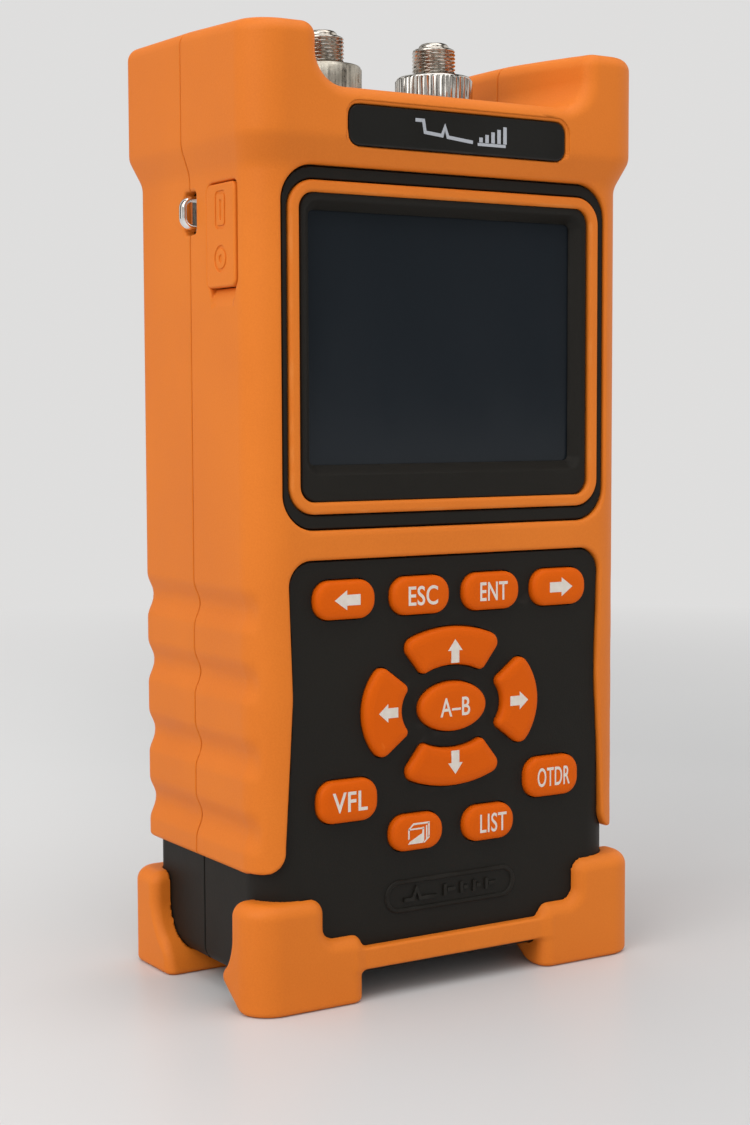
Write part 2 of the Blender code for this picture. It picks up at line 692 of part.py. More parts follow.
def saddle():
    """The dip between the horns, through the whole depth of the bumper."""
    high = BOOT_TOP + FAR
    corners = [
        (-SADDLE_HALF_WIDTH, SADDLE_FLOOR, SADDLE_RADIUS),
        (SADDLE_HALF_WIDTH, SADDLE_FLOOR, SADDLE_RADIUS),
        (SADDLE_HALF_WIDTH, high, 0.0),
        (-SADDLE_HALF_WIDTH, high, 0.0),
    ]
    return slab("saddle", rounded_outline(corners, 5), -FAR, FAR)


def lug_pocket():
    low = (-FAR, SEAM_PLANE - LUG_HALF - GAP, LUG_LOW - 2 * GAP)
    high = (-ROOM_HALF_WIDTH - 2 * GAP, SEAM_PLANE + LUG_HALF + GAP, LUG_HIGH + 2 * GAP)
    return box("lug_pocket", low, high)


def make_boot():
    void, dip, pocket = sunk_body("boot_void", GAP), saddle(), lug_pocket()
    opening = well_cutter("well", CASE_TOP - FAR)
    front = boot_body("front_boot")
    display = slab("display_window", panel_outline(DISPLAY_WINDOW, 0.0, 4), -FAR, WINDOW_DEEP)
    pad = slab("pad_window", pad_outline(), -FAR, WINDOW_DEEP)
    plate = slab("plate_pocket", panel_outline(PLATE_SIZE, GAP, 3), -FAR, PLATE_BACK + GAP)
    plate.location.x += PLATE_SHIFT
    y0, y1, z0, z1 = FLAP
    low = (-FAR, y0 - GAP, z0 - GAP)
    flap = box("flap_window", low, (-ROOM_HALF_WIDTH, y1 + GAP, z1 + GAP))
    cut(front, void, REAR_HALF_SPACE, dip, opening, pocket, display, pad, plate, flap)
    finish(front, RUBBER)
    rear = boot_body("rear_boot")
    door = slab("door_window", panel_outline(DOOR, GAP, 3), CASE_REAR - 2 * MM, FAR)
    label = slab("label_pocket", panel_outline(LABEL, GAP, 3), BOOT_REAR - LABEL_SUNK, FAR)
    cut(rear, void, FRONT_HALF_SPACE, dip, opening, pocket, door, label)
    finish(rear, RUBBER)


# ---------------------------------------------------------------- feet


def foot(name, side, face, side_outline, corner):
    """A corner foot: where its front, side and top outlines all agree."""
    sign = 1 if face > 0 else -1
    top = max(height for _, height, _ in side_outline)
    outline = [
        (side * FOOT_HALF_WIDTH, SOLE, 2.2 * MM),
        (side * FOOT_HALF_WIDTH, top, 4.0 * MM),
        (side * FOOT_STEP, top, 3.0 * MM),
        (side * FOOT_STEP, FOOT_STEP_HEIGHT, 2.5 * MM),
        (side * FOOT_INNER, FOOT_STEP_HEIGHT, 2.5 * MM),
        (side * FOOT_INNER, SOLE, 2.0 * MM),
    ]
    made = slab(name, rounded_outline(outline), min(0.0, sign * FAR), max(0.0, sign * FAR))
    lengthways = slab(f"{name}_side", rounded_outline(side_outline), -FAR, FAR, axis="X")
    inner = 0.5 * FOOT_INNER
    plan = [
        (side * FOOT_HALF_WIDTH, face, corner),
        (side * FOOT_HALF_WIDTH, 0.0, FOOT_INSIDE_CORNER),
        (side * inner, 0.0, FOOT_INSIDE_CORNER),
        (side * inner, face, FOOT_INSIDE_CORNER),
    ]
    downward = slab(f"{name}_plan", rounded_outline(plan), -FAR, FAR, axis="Z")
    combine(made, lengthways, "INTERSECT")
    return combine(made, downward, "INTERSECT")


def foot_bumper(name, face, side_outline, corner):
    """A left and a right foot with the strip that ties them together."""
    sign = 1 if face > 0 else -1
    bumper = foot(name, -1, face, side_outline, corner)
    other = foot(f"{name}_right", 1, face, side_outline, corner)
    outer = face - sign * STRIP_INSET
    ends = sorted((outer, outer - sign * STRIP_THICK))
    reach = FOOT_INNER + STRIP_OVERLAP
    strip = box(f"{name}_strip", (-reach, ends[0], STRIP_LOW), (reach, ends[1], STRIP_HIGH))
    join(bumper, other, strip)
    cut(bumper, case_body(f"{name}_void", GAP))
    return finish(bumper, RUBBER)


def make_feet():
    foot_bumper("front_foot_bumper", FRONT_FOOT_FACE, FRONT_FOOT_SIDE, FRONT_FOOT_CORNER)
    foot_bumper("rear_foot_bumper", REAR_FOOT_FACE, REAR_FOOT_SIDE, REAR_FOOT_CORNER)


# ---------------------------------------------------------------- display


def make_display():
    ring = slab("display_ring", panel_outline(RING_OUTER, 0.0, 4), RING_FRONT, RING_BACK)
    cut(ring, slab("ring_hole", panel_outline(RING_INNER, 0.0, 4), -FAR, FAR))
    finish(ring, RUBBER)
    bezel_outline = panel_outline(RING_INNER, -GAP, 4)
    bezel = slab("display_bezel", bezel_outline, CASE_FRONT, BEZEL_BACK)
    wide_view, narrow_view = [panel_outline(VIEW_AREA, grow, 3) for grow in VIEW_BEVEL]
    rings = [(wide_view, CASE_FRONT - MM), (narrow_view, BEZEL_BACK + MM)]
    cut(bezel, tower("view_cut", rings))
    finish(bezel, CASE_PLASTIC)
    slab("display_lens", panel_outline(LENS_SIZE, 0.0, 2), BEZEL_BACK + GAP, LENS_BACK, SCREEN)
    slab("lcd_module", panel_outline(LCD_SIZE, 0.0, 1), LENS_BACK + GAP, LCD_BACK, BARE_STEEL)


# ---------------------------------------------------------------- ports


def make_port(name, x):
    """A threaded receptacle, the adapter on it, the nut that holds it, and the lock nut below."""
    place = (x, PORT_Y, 0)
    stub = [
        (0.0, STUB_TOP),
        (STUB_RADIUS, STUB_TOP),
        (STUB_RADIUS, FLANGE_HIGH),
        (FLANGE_RADIUS, FLANGE_HIGH),
        (FLANGE_RADIUS, PANEL_TOP + GAP),
        (STUB_BODY, PANEL_TOP + GAP),
        (STUB_BODY, STUB_BOTTOM),
        (0.0, STUB_BOTTOM),
    ]
    turned(f"{name}_receptacle", stub, PLATED, 20, place)
    collar_low = STUB_TOP + 2 * GAP
    collar_high = collar_low + COLLAR_THICK
    shoulder = PORT_TOP - NOSE_DROP
    bore = SLEEVE_OUTER + GAP
    barrel = [
        (NOSE_RADIUS - PORT_CHAMFER, PORT_TOP),
        (NOSE_RADIUS, PORT_TOP - PORT_CHAMFER),
        (NOSE_RADIUS, shoulder),
        (BARREL_RADIUS - PORT_CHAMFER, shoulder),
        (BARREL_RADIUS, shoulder - PORT_CHAMFER),
        (BARREL_RADIUS, collar_high),
        (COLLAR_RADIUS, collar_high),
        (COLLAR_RADIUS, collar_low),
        (bore, collar_low),
        (bore, PORT_TOP),
    ]
    turned(f"{name}_adapter", barrel, PLATED, 24, place)
    sleeve = [
        (SLEEVE_OUTER, PORT_TOP - SLEEVE_DROP),
        (SLEEVE_OUTER, collar_low),
        (SLEEVE_INNER, collar_low),
        (SLEEVE_INNER, PORT_TOP - SLEEVE_DROP),
    ]
    turned(f"{name}_ferrule_sleeve", sleeve, ZIRCONIA, 12, place)
    chamber = COLLAR_RADIUS + GAP
    nut = [
        (NUT_RADIUS - PORT_CHAMFER, NUT_TOP),
        (NUT_RADIUS, NUT_TOP - PORT_CHAMFER),
        (NUT_RADIUS, NUT_BOTTOM + PORT_CHAMFER),
        (NUT_RADIUS - PORT_CHAMFER, NUT_BOTTOM),
        (STUB_RADIUS + GAP, NUT_BOTTOM),
        (STUB_RADIUS + GAP, collar_low - GAP),
        (chamber, collar_low - GAP),
        (chamber, collar_high + GAP),
        (BARREL_RADIUS + GAP, collar_high + GAP),
        (BARREL_RADIUS + GAP, NUT_TOP),
    ]
    turned(f"{name}_nut", nut, PLATED, 28, place)
    hexagon = arc((x, PORT_Y), LOCK_NUT_RADIUS, 0, 300, 5)
    top = PANEL_TOP - PANEL_THICK - GAP
    lock = slab(f"{name}_lock_nut", hexagon, top - LOCK_NUT_THICK, top, axis="Z")
    hole = arc((x, PORT_Y), STUB_BODY + GAP, 0, 337.5, 15)
    cut(lock, slab(f"{name}_lock_hole", hole, top - 2 * LOCK_NUT_THICK, top + MM, axis="Z"))
    finish(lock, BARE_STEEL)


def make_ports():
    low = PANEL_TOP - PANEL_THICK
    front, rear = PANEL_DEPTHS
    panel = box("port_panel", (-PANEL_HALF, front, low), (PANEL_HALF, rear, PANEL_TOP))
    for side in (-1, 1):
        outline = arc((side * PORT_X, PORT_Y), STUB_BODY + GAP, 0, 337.5, 15)
        cut(panel, slab(f"panel_port_{side}", outline, low - MM, PANEL_TOP + MM, axis="Z"))
    finish(panel, CASE_PLASTIC)
    make_port("otdr_port", -PORT_X)
    make_port("vfl_port", PORT_X)


# ---------------------------------------------------------------- left side


def make_sockets():
    y0, y1, z0, z1 = USB
    usb = box("usb_socket", (SOCKET_FACE, y0, z0), (USB_BACK, y1, z1), BARE_STEEL)
    low = (-FAR, y0 + USB_WALL, z0 + USB_WALL)
    room = box("usb_room", low, (USB_BACK - 2 * MM, y1 - USB_WALL, z1 - USB_WALL))
    middle = (y0 + y1) / 2
    tongue_low = (SOCKET_FACE + MM, middle - USB_TONGUE, z0 + 2 * USB_WALL)
    tongue_high = (USB_BACK - MM, middle + USB_TONGUE, z1 - 2 * USB_WALL)
    join(cut(usb, room), box("usb_tongue", tongue_low, tongue_high))
    y0, y1, z0, z1 = JACK
    jack = box("charge_jack", (SOCKET_FACE, y0, z0), (JACK_BACK, y1, z1), CASE_PLASTIC)
    centre = ((y0 + y1) / 2, (z0 + z1) / 2)
    bore_back = JACK_BACK - 3 * MM
    bore = slab("jack_bore", arc(centre, JACK_BORE, 0, 337.5, 15), -FAR, bore_back, axis="X")
    rod = arc(centre, JACK_PIN, 0, 315, 7)
    join(cut(jack, bore), slab("jack_pin", rod, SOCKET_FACE + MM, bore_back + MM, axis="X"))


def make_flap():
    """The rubber cover of the sockets. Its origin is on its hinge, at its outer top edge."""
    y0, y1, z0, z1 = FLAP
    corners = [(y0, z0, FLAP_CORNER), (y1, z0, FLAP_CORNER), (y1, z1, 0.0), (y0, z1, 0.0)]
    flap = slab("port_flap", rounded_outline(corners), FLAP_OUT, FLAP_IN, RUBBER, "X")
    hinge = Vector((FLAP_OUT, (y0 + y1) / 2, z1))
    flap.data.transform(Matrix.Translation(flap.location - hinge))
    flap.location = hinge


def make_lug():
    """A wire loop on a small plate, for a wrist strap."""
    base_out = -SUNK_HALF_WIDTH - GAP - LUG_PLATE
    low = (base_out, SEAM_PLANE - LUG_HALF, LUG_LOW)
    high = (-SUNK_HALF_WIDTH - GAP, SEAM_PLANE + LUG_HALF, LUG_HIGH)
    lug = box("strap_lug", low, high, PLATED)
    out = LUG_OUT + LUG_WIRE
    bottom, top = LUG_LOW + LUG_WIRE + LUG_INSET, LUG_HIGH - LUG_WIRE - LUG_INSET
    inside = base_out + LUG_ROOT
    path = [(inside, bottom), (out + LUG_BEND, bottom), (out, bottom + LUG_BEND)]
    path += [(out, top - LUG_BEND), (out + LUG_BEND, top), (inside, top)]
    curve = bpy.data.curves.new("lug_wire", "CURVE")
    curve.dimensions = "3D"
    curve.bevel_depth = LUG_WIRE
    curve.bevel_resolution = 1
    curve.use_fill_caps = True
    line = curve.splines.new("POLY")
    line.points.add(len(path) - 1)
    for point, (x, z) in zip(line.points, path):
        point.co = (x, SEAM_PLANE, z, 1)
    wire = bpy.data.objects.new("lug_wire_path", curve)
    CUTTERS.objects.link(wire)
    graph = bpy.context.evaluated_depsgraph_get()
    mesh = bpy.data.meshes.new_from_object(wire.evaluated_get(graph))
    work = bmesh.new()
    work.from_mesh(mesh)
    bmesh.ops.remove_doubles(work, verts=work.verts, dist=0.00001)
    bmesh.ops.recalc_face_normals(work, faces=work.faces)
    work.to_mesh(mesh)
    work.free()
    bpy.data.objects.remove(wire)
    loop = bpy.data.objects.new("lug_wire", mesh)
    finish(loop, None)
    join(lug, loop)


# ---------------------------------------------------------------- inside and rear


def make_inside():
    mat_front = CASE_FRONT + CASE_WALL + GAP + KEY_FLANGE_THICK + MAT_BEHIND_KEYS
    mat_back = mat_front + MAT_THICK
    slab("keypad_mat", panel_outline(MAT_SIZE, 0.0, 2), mat_front, mat_back, PALE_PLASTIC)
    board_front = mat_back + GAP
    board_outline = panel_outline(KEY_BOARD_SIZE, 0.0, 1)
    slab("key_board", board_outline, board_front, board_front + BOARD_THICK, FIBREGLASS)
    box("main_board", MAIN_BOARD_LOW, MAIN_BOARD_HIGH, FIBREGLASS)
    box("optical_module", OPTICAL_LOW, OPTICAL_HIGH, BARE_STEEL, MM)
    beam = arc((PORT_X, PORT_Y), LASER_RADIUS, 0, 337.5, 15)
    finish(slab("vfl_laser", beam, *LASER_HEIGHTS, axis="Z"), PLATED)
    half, low, high = BAY
    pack_low = (-half + PACK_CLEARANCE, PACK_DEPTHS[0], low + PACK_CLEARANCE)
    pack_high = (half - PACK_CLEARANCE, PACK_DEPTHS[1], high - PACK_CLEARANCE)
    box("battery_pack", pack_low, pack_high, CELL_WRAP, PACK_EDGE)
    box("battery_contacts", CONTACTS_LOW, CONTACTS_HIGH, CASE_PLASTIC)
    sounder = arc(BUZZER_CENTRE, BUZZER_RADIUS, 0, 337.5, 15)
    slab("buzzer", sounder, *BUZZER_DEPTHS, CASE_PLASTIC)


def make_screw(name, spot, sizes, face, tip):
    """A pan-head screw along Y, head to the rear. Its sizes are head, shank and head depth."""
    x, z = spot
    head, shank, head_thick = sizes
    length = face - tip
    profile = [
        (0.0, length),
        (head * 0.7, length),
        (head, length - head_thick * 0.4),
        (head, length - head_thick),
        (shank, length - head_thick),
        (shank, 0.0),
        (0.0, 0.0),
    ]
    screw = turned(name, profile, BARE_STEEL, 12, (x, tip, z))
    screw.rotation_euler = (math.radians(-90), 0, 0)


def make_rear():
    inner = SUNK_REAR + GAP
    door = slab("battery_door", panel_outline(DOOR, 0.0, 3), inner, BOOT_REAR - 0.1 * MM)
    for number, side in enumerate((-1, 1), 1):
        spot = (side * DOOR_SCREW_X, DOOR_SCREW_HEIGHT)
        cut(door, peg(f"door_hole_{number}", spot, DOOR_SCREW_SHANK + GAP, 0, FAR, 8))
        cut(door, peg(f"door_seat_{number}", spot, DOOR_SCREW_HEAD + GAP, inner + DOOR_SEAT, FAR))
        sizes = (DOOR_SCREW_HEAD, DOOR_SCREW_SHANK, 0.9 * MM)
        make_screw(f"door_screw_{number}", spot, sizes, BOOT_REAR - 0.2 * MM, DOOR_SCREW_TIP)
    finish(door, CASE_PLASTIC)
    label_outline = panel_outline(LABEL, 0.0, 3)
    slab("rating_label", label_outline, BOOT_REAR - GAP, BOOT_REAR + 0.1 * MM, PALE_PLASTIC)
    for number, spot in enumerate(screw_spots(), 1):
        sizes = (SCREW_HEAD, SCREW_SHANK, 1.8 * MM)
        make_screw(f"case_screw_{number}", spot, sizes, CASE_REAR - CASE_SCREW_SUNK, CASE_SCREW_TIP)


def make_plate():
    plate = slab("name_plate", panel_outline(PLATE_SIZE, 0.0, 3), PLATE_FRONT, PLATE_BACK)
    plate.location.x += PLATE_SHIFT
    finish(plate, CASE_PLASTIC)


front_shell()
rear_shell()
make_boot()
make_feet()
make_display()
make_plate()
make_keys()
make_ports()
make_sockets()
make_flap()
make_lug()
make_inside()
make_rear()
for raised in bpy.data.objects:
    raised.location.z += LIFT
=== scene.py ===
"""Looks of a handheld optical time domain reflectometer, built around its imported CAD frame.

Lengths are in millimetres until a mesh is made. +X is to the user's right, +Y is away from
the user and +Z is up. Heights are written from a level that lies LIFT above the soles, and
span and new_object turn them to and from the frame's own. The two rubber boots, the shells
and the feet are skins of distance fields, and the smaller pieces are lofts through rounded
outlines.
"""

import itertools
import json
import math

import bmesh
import bpy
import numpy as np
from mathutils import Matrix, Vector


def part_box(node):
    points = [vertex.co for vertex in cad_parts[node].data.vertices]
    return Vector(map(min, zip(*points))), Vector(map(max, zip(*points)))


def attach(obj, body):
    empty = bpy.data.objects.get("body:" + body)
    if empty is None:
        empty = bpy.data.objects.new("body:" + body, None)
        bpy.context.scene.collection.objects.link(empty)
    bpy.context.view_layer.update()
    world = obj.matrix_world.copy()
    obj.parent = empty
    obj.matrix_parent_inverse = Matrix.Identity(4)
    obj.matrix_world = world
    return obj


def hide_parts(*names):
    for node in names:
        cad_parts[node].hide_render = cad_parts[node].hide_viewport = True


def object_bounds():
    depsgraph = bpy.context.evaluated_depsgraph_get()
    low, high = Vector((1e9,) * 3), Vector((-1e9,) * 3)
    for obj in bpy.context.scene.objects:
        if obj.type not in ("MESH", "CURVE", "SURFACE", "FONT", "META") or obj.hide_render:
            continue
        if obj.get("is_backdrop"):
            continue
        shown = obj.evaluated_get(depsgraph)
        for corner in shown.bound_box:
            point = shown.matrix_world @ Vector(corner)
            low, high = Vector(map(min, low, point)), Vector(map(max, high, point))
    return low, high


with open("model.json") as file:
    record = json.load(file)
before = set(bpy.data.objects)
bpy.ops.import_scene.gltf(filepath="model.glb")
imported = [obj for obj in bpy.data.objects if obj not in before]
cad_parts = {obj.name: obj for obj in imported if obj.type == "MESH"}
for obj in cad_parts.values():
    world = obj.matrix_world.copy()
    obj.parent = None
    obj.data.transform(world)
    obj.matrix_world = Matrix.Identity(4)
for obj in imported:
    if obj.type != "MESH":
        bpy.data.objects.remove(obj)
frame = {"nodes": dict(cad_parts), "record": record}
cad_low, cad_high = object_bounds()

MM = 0.001
GAP = 0.3
CASE_BOTTOM = 3.4
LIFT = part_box("front_case")[0][2] / MM - CASE_BOTTOM
RAISE = np.array((0.0, 0.0, LIFT))


def span(node):
    """The lowest and highest corner of a CAD node, in millimetres."""
    low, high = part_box(node)
    return np.array(low) / MM - RAISE, np.array(high) / MM - RAISE


CASE_LOW, CASE_HIGH = span("front_case")
REAR_HIGH = span("rear_case")[1]
BOOT_LOW, BOOT_HIGH = span("front_boot")
FOOT_LOW, FOOT_HIGH = span("front_foot_bumper")
REAR_FOOT_HIGH = span("rear_foot_bumper")[1]
RING_LOW, RING_HIGH = span("display_ring")
BEZEL_LOW, BEZEL_HIGH = span("display_bezel")
LENS_LOW, LENS_HIGH = span("display_lens")
PLATE_LOW, PLATE_HIGH = span("name_plate")
FLAP_LOW, FLAP_HIGH = span("port_flap")
DOOR_LOW, DOOR_HIGH = span("battery_door")
LABEL_LOW, LABEL_HIGH = span("rating_label")
LUG_LOW, LUG_HIGH = span("strap_lug")

# ---------------------------------------------------------------- materials


class Nodes:
    """A small helper that adds and links the nodes of one material."""

    def __init__(self, name):
        self.made = bpy.data.materials.new(name)
        self.made.use_nodes = True
        self.tree = self.made.node_tree
        self.shader = self.tree.nodes["Principled BSDF"]
        self.place = self.add("ShaderNodeTexCoord").outputs["Object"]

    def add(self, kind, **settings):
        node = self.tree.nodes.new(kind)
        for key, value in settings.items():
            setattr(node, key, value)
        return node

    def link(self, source, target):
        self.tree.links.new(source, target)

    def feed(self, value, socket):
        """Sets a socket to a number or a colour, or links another node's output to it."""
        if isinstance(value, (int, float)):
            socket.default_value = value
        elif isinstance(value, tuple):
            socket.default_value = (*value, 1.0)
        else:
            self.link(value, socket)

    def finish(self, colour, rough, normal=None, specular=0.5, metallic=0.0):
        """Gives the shader its looks, and returns the material."""
        self.feed(colour, self.shader.inputs["Base Color"])
        self.feed(rough, self.shader.inputs["Roughness"])
        self.feed(specular, self.shader.inputs["Specular IOR Level"])
        self.feed(metallic, self.shader.inputs["Metallic"])
        if normal is not None:
            self.link(normal, self.shader.inputs["Normal"])
        return self.made

    def noise(self, scale, detail=2.0, roughness=0.5, stretch=None):
        node = self.add("ShaderNodeTexNoise")
        node.inputs["Scale"].default_value = scale
        node.inputs["Detail"].default_value = detail
        node.inputs["Roughness"].default_value = roughness
        source = self.place
        if stretch:
            mapping = self.add("ShaderNodeMapping")
            mapping.inputs["Scale"].default_value = stretch
            self.link(source, mapping.inputs["Vector"])
            source = mapping.outputs["Vector"]
        self.link(source, node.inputs["Vector"])
        return node.outputs["Fac"]

    def range(self, source, low, high, start, end):
        """The source's low to high turned to start to end, and clamped."""
        node = self.add("ShaderNodeMapRange")
        node.inputs["From Min"].default_value = low
        node.inputs["From Max"].default_value = high
        node.inputs["To Min"].default_value = start
        node.inputs["To Max"].default_value = end
        self.link(source, node.inputs["Value"])
        return node.outputs["Result"]

    def mix(self, share, first, second):
        node = self.add("ShaderNodeMix", data_type="RGBA")
        for value, socket in ((share, node.inputs[0]), (first, node.inputs[6]), (second, node.inputs[7])):
            self.feed(value, socket)
        return node.outputs[2]

    def bump(self, height, strength, distance, before=None):
        """The normal of a height pattern, on top of another bump where one is given."""
        node = self.add("ShaderNodeBump")
        node.inputs["Strength"].default_value = strength
        node.inputs["Distance"].default_value = distance
        self.link(height, node.inputs["Height"])
        if before is not None:
            self.link(before, node.inputs["Normal"])
        return node.outputs["Normal"]

    def edges(self, low, high):
        """How much a point lies on a raised edge, from 0 to 1."""
        geometry = self.add("ShaderNodeNewGeometry")
        return self.range(geometry.outputs["Pointiness"], low, high, 0.0, 1.0)


def moulded(name, dark, light, rough, grain, bump, worn=None, specular=0.5):
    """A moulded rubber or plastic: two close tones, a fine grain, and paler worn edges."""
    work = Nodes(name)
    cloud = work.range(work.noise(28.0, 3.0), 0.3, 0.7, 0.0, 1.0)
    tone = work.mix(cloud, dark, light)
    fine = work.noise(grain, 2.0, 0.6)
    speck = work.range(fine, 0.3, 0.75, 0.0, 0.12)
    tone = work.mix(speck, tone, tuple(min(1.0, c * 1.5 + 0.01) for c in light))
    if worn:
        edge = work.edges(0.52, 0.62)
        patch = work.range(work.noise(160.0, 4.0), 0.45, 0.7, 0.0, 0.5)
        share = work.add("ShaderNodeMath", operation="MULTIPLY")
        work.link(edge, share.inputs[0])
        work.link(patch, share.inputs[1])
        tone = work.mix(share.outputs[0], tone, worn)
    soft = work.bump(work.noise(grain * 0.16, 3.0), bump * 0.5, 0.00012)
    normal = work.bump(fine, bump, 0.00008, soft)
    return work.finish(tone, work.range(cloud, 0.0, 1.0, *rough), normal, specular)


def plated(name, dark, light, rough, streak, tarnish=(0.42, 0.30, 0.22), share=0.25, depth=0.12):
    """A plated or turned metal: fine turning marks, and a faint warm tarnish."""
    work = Nodes(name)
    cloud = work.range(work.noise(240.0, 4.0, 0.6), 0.35, 0.7, 0.0, 1.0)
    tone = work.mix(cloud, dark, light)
    stain = work.range(work.noise(420.0, 3.0), 0.52, 0.74, 0.0, share)
    tone = work.mix(stain, tone, tarnish)
    marks = work.noise(1200.0, 2.0, 0.5, streak)
    dull = work.range(marks, 0.25, 0.75, *rough)
    return work.finish(tone, dull, work.bump(marks, depth, 0.00002), metallic=1.0)


def board():
    """A green circuit board with a faint pattern of tracks."""
    work = Nodes("circuit_board")
    brick = work.add("ShaderNodeTexVoronoi", distance="MANHATTAN", feature="DISTANCE_TO_EDGE")
    brick.inputs["Scale"].default_value = 350.0
    work.link(work.place, brick.inputs["Vector"])
    tracks = work.range(brick.outputs["Distance"], 0.05, 0.10, 1.0, 0.0)
    tone = work.mix(tracks, (0.012, 0.085, 0.035), (0.03, 0.17, 0.07))
    return work.finish(tone, 0.42, work.bump(tracks, 0.2, 0.00004))


def glass():
    """The dark, glossy window over the switched-off display."""
    work = Nodes("screen_glass")
    cloud = work.range(work.noise(18.0, 2.0), 0.3, 0.7, 0.0, 1.0)
    tone = work.mix(cloud, (0.0140, 0.0178, 0.0220), (0.0160, 0.0200, 0.0250))
    smear = work.noise(60.0, 3.0, 0.6, (1.0, 1.0, 0.35))
    normal = work.bump(work.noise(900.0, 1.0), 0.02, 0.00002)
    return work.finish(tone, work.range(smear, 0.3, 0.7, 0.10, 0.17), normal, 0.24)


def ink():
    """The off-white print of the key legends."""
    work = Nodes("legend_ink")
    cloud = work.range(work.noise(700.0, 3.0), 0.3, 0.7, 0.0, 1.0)
    tone = work.mix(cloud, (0.70, 0.63, 0.55), (0.77, 0.71, 0.64))
    return work.finish(tone, 0.55, work.bump(work.noise(3000.0, 2.0), 0.1, 0.00003))


RUBBER = moulded(
    "orange_rubber", (0.71, 0.173, 0.011), (0.77, 0.197, 0.015), (0.50, 0.60), 2600.0, 0.42,
    worn=(0.82, 0.27, 0.05), specular=0.26,
)
KEYS = moulded(
    "key_rubber", (0.67, 0.100, 0.0010), (0.72, 0.114, 0.0015), (0.42, 0.50), 3200.0, 0.16,
    worn=(0.80, 0.19, 0.02), specular=0.08,
)
BLACK = moulded(
    "black_plastic", (0.0088, 0.0074, 0.0052), (0.0120, 0.0104, 0.0078), (0.50, 0.60), 2400.0, 0.32,
    worn=(0.04, 0.037, 0.032), specular=0.20,
)
GLOSS_BLACK = moulded(
    "plate_black", (0.0082, 0.0076, 0.0064), (0.0105, 0.0100, 0.0086), (0.30, 0.40), 1500.0, 0.08,
    worn=(0.04, 0.037, 0.033), specular=0.24,
)
NICKEL = plated(
    "nickel_plate", (0.50, 0.48, 0.45), (0.70, 0.68, 0.64), (0.10, 0.20), (0.15, 0.15, 3.0), share=0.15,
)
THREAD_NICKEL = plated(
    "thread_nickel", (0.48, 0.45, 0.41), (0.66, 0.62, 0.56), (0.17, 0.22), (0.15, 0.15, 3.0),
    tarnish=(0.46, 0.30, 0.18), share=0.35, depth=0.02,
)
WORN_NICKEL = plated(
    "worn_nickel", (0.34, 0.31, 0.26), (0.62, 0.58, 0.50), (0.22, 0.42), (1.0, 1.0, 1.0),
    tarnish=(0.30, 0.24, 0.16), share=0.5,
)
CHROME = plated("lug_chrome", (0.70, 0.68, 0.66), (0.88, 0.87, 0.85), (0.05, 0.16), (1.0, 1.0, 1.0))
STEEL = plated(
    "bare_steel", (0.36, 0.36, 0.37), (0.52, 0.52, 0.52), (0.22, 0.42), (3.0, 3.0, 0.3),
    tarnish=(0.25, 0.18, 0.12),
)
SILVER = moulded("plate_mark", (0.36, 0.38, 0.42), (0.44, 0.46, 0.50), (0.32, 0.42), 1500.0, 0.05)
PALE = moulded("pale_plastic", (0.55, 0.55, 0.52), (0.66, 0.66, 0.63), (0.45, 0.58), 1800.0, 0.15)
LABEL = moulded("label_film", (0.40, 0.40, 0.39), (0.46, 0.46, 0.45), (0.32, 0.42), 1500.0, 0.08)
CERAMIC = moulded("zirconia", (0.74, 0.71, 0.64), (0.82, 0.79, 0.73), (0.20, 0.30), 2400.0, 0.05)
WRAP = moulded("cell_wrap", (0.025, 0.06, 0.17), (0.035, 0.08, 0.22), (0.35, 0.48), 1200.0, 0.10)
BOARD = board()
GLASS = glass()
INK = ink()

SLOT_LOOKS = {
    "orange_rubber": RUBBER,
    "key_rubber": KEYS,
    "black_plastic": BLACK,
    "screen_glass": GLASS,
    "nickel_plate": NICKEL,
    "circuit_board": BOARD,
    "bare_steel": STEEL,
    "pale_plastic": PALE,
    "zirconia": CERAMIC,
    "cell_wrap": WRAP,
}

# ---------------------------------------------------------------- meshes


def new_object(name, points, faces, look):
    """A mesh object from points in millimetres."""
    mesh = bpy.data.meshes.new(name)
    raised = (np.asarray(points, float) + RAISE) * MM
    mesh.from_pydata(raised.tolist(), [], [list(map(int, face)) for face in faces])
    mesh.validate()
    mesh.update()
    obj = bpy.data.objects.new(name, mesh)
    bpy.context.scene.collection.objects.link(obj)
    if look:
        obj.data.materials.append(look)
    obj.data.shade_smooth()
    return obj


def cleaned(obj, angle=40.0, weighted=True):
    """Smooth rounds, sharp corners, and flat faces that stay flat."""
    obj.data.set_sharp_from_angle(angle=math.radians(angle))
    if weighted:
        weights = obj.modifiers.new("flats", "WEIGHTED_NORMAL")
        weights.keep_sharp = True
        weights.weight = 80
    return obj


def placed(obj, body, slot, *nodes):
    """Puts a finished piece on its body, with the CAD nodes it stands for."""
    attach(obj, body)
    if nodes:
        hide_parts(*nodes)
    return obj


def carve(obj, cutters):
    """Cuts the cutters out of the object and removes them."""
    for cutter in cutters:
        boolean = obj.modifiers.new("cut", "BOOLEAN")
        boolean.operation = "DIFFERENCE"
        boolean.object = cutter
        boolean.solver = "EXACT"
    graph = bpy.context.evaluated_depsgraph_get()
    mesh = bpy.data.meshes.new_from_object(obj.evaluated_get(graph))
    old = obj.data
    obj.modifiers.clear()
    obj.data = mesh
    mesh.name = obj.name
    bpy.data.meshes.remove(old)
    for cutter in cutters:
        bpy.data.objects.remove(cutter)
    return obj


# ---------------------------------------------------------------- outlines


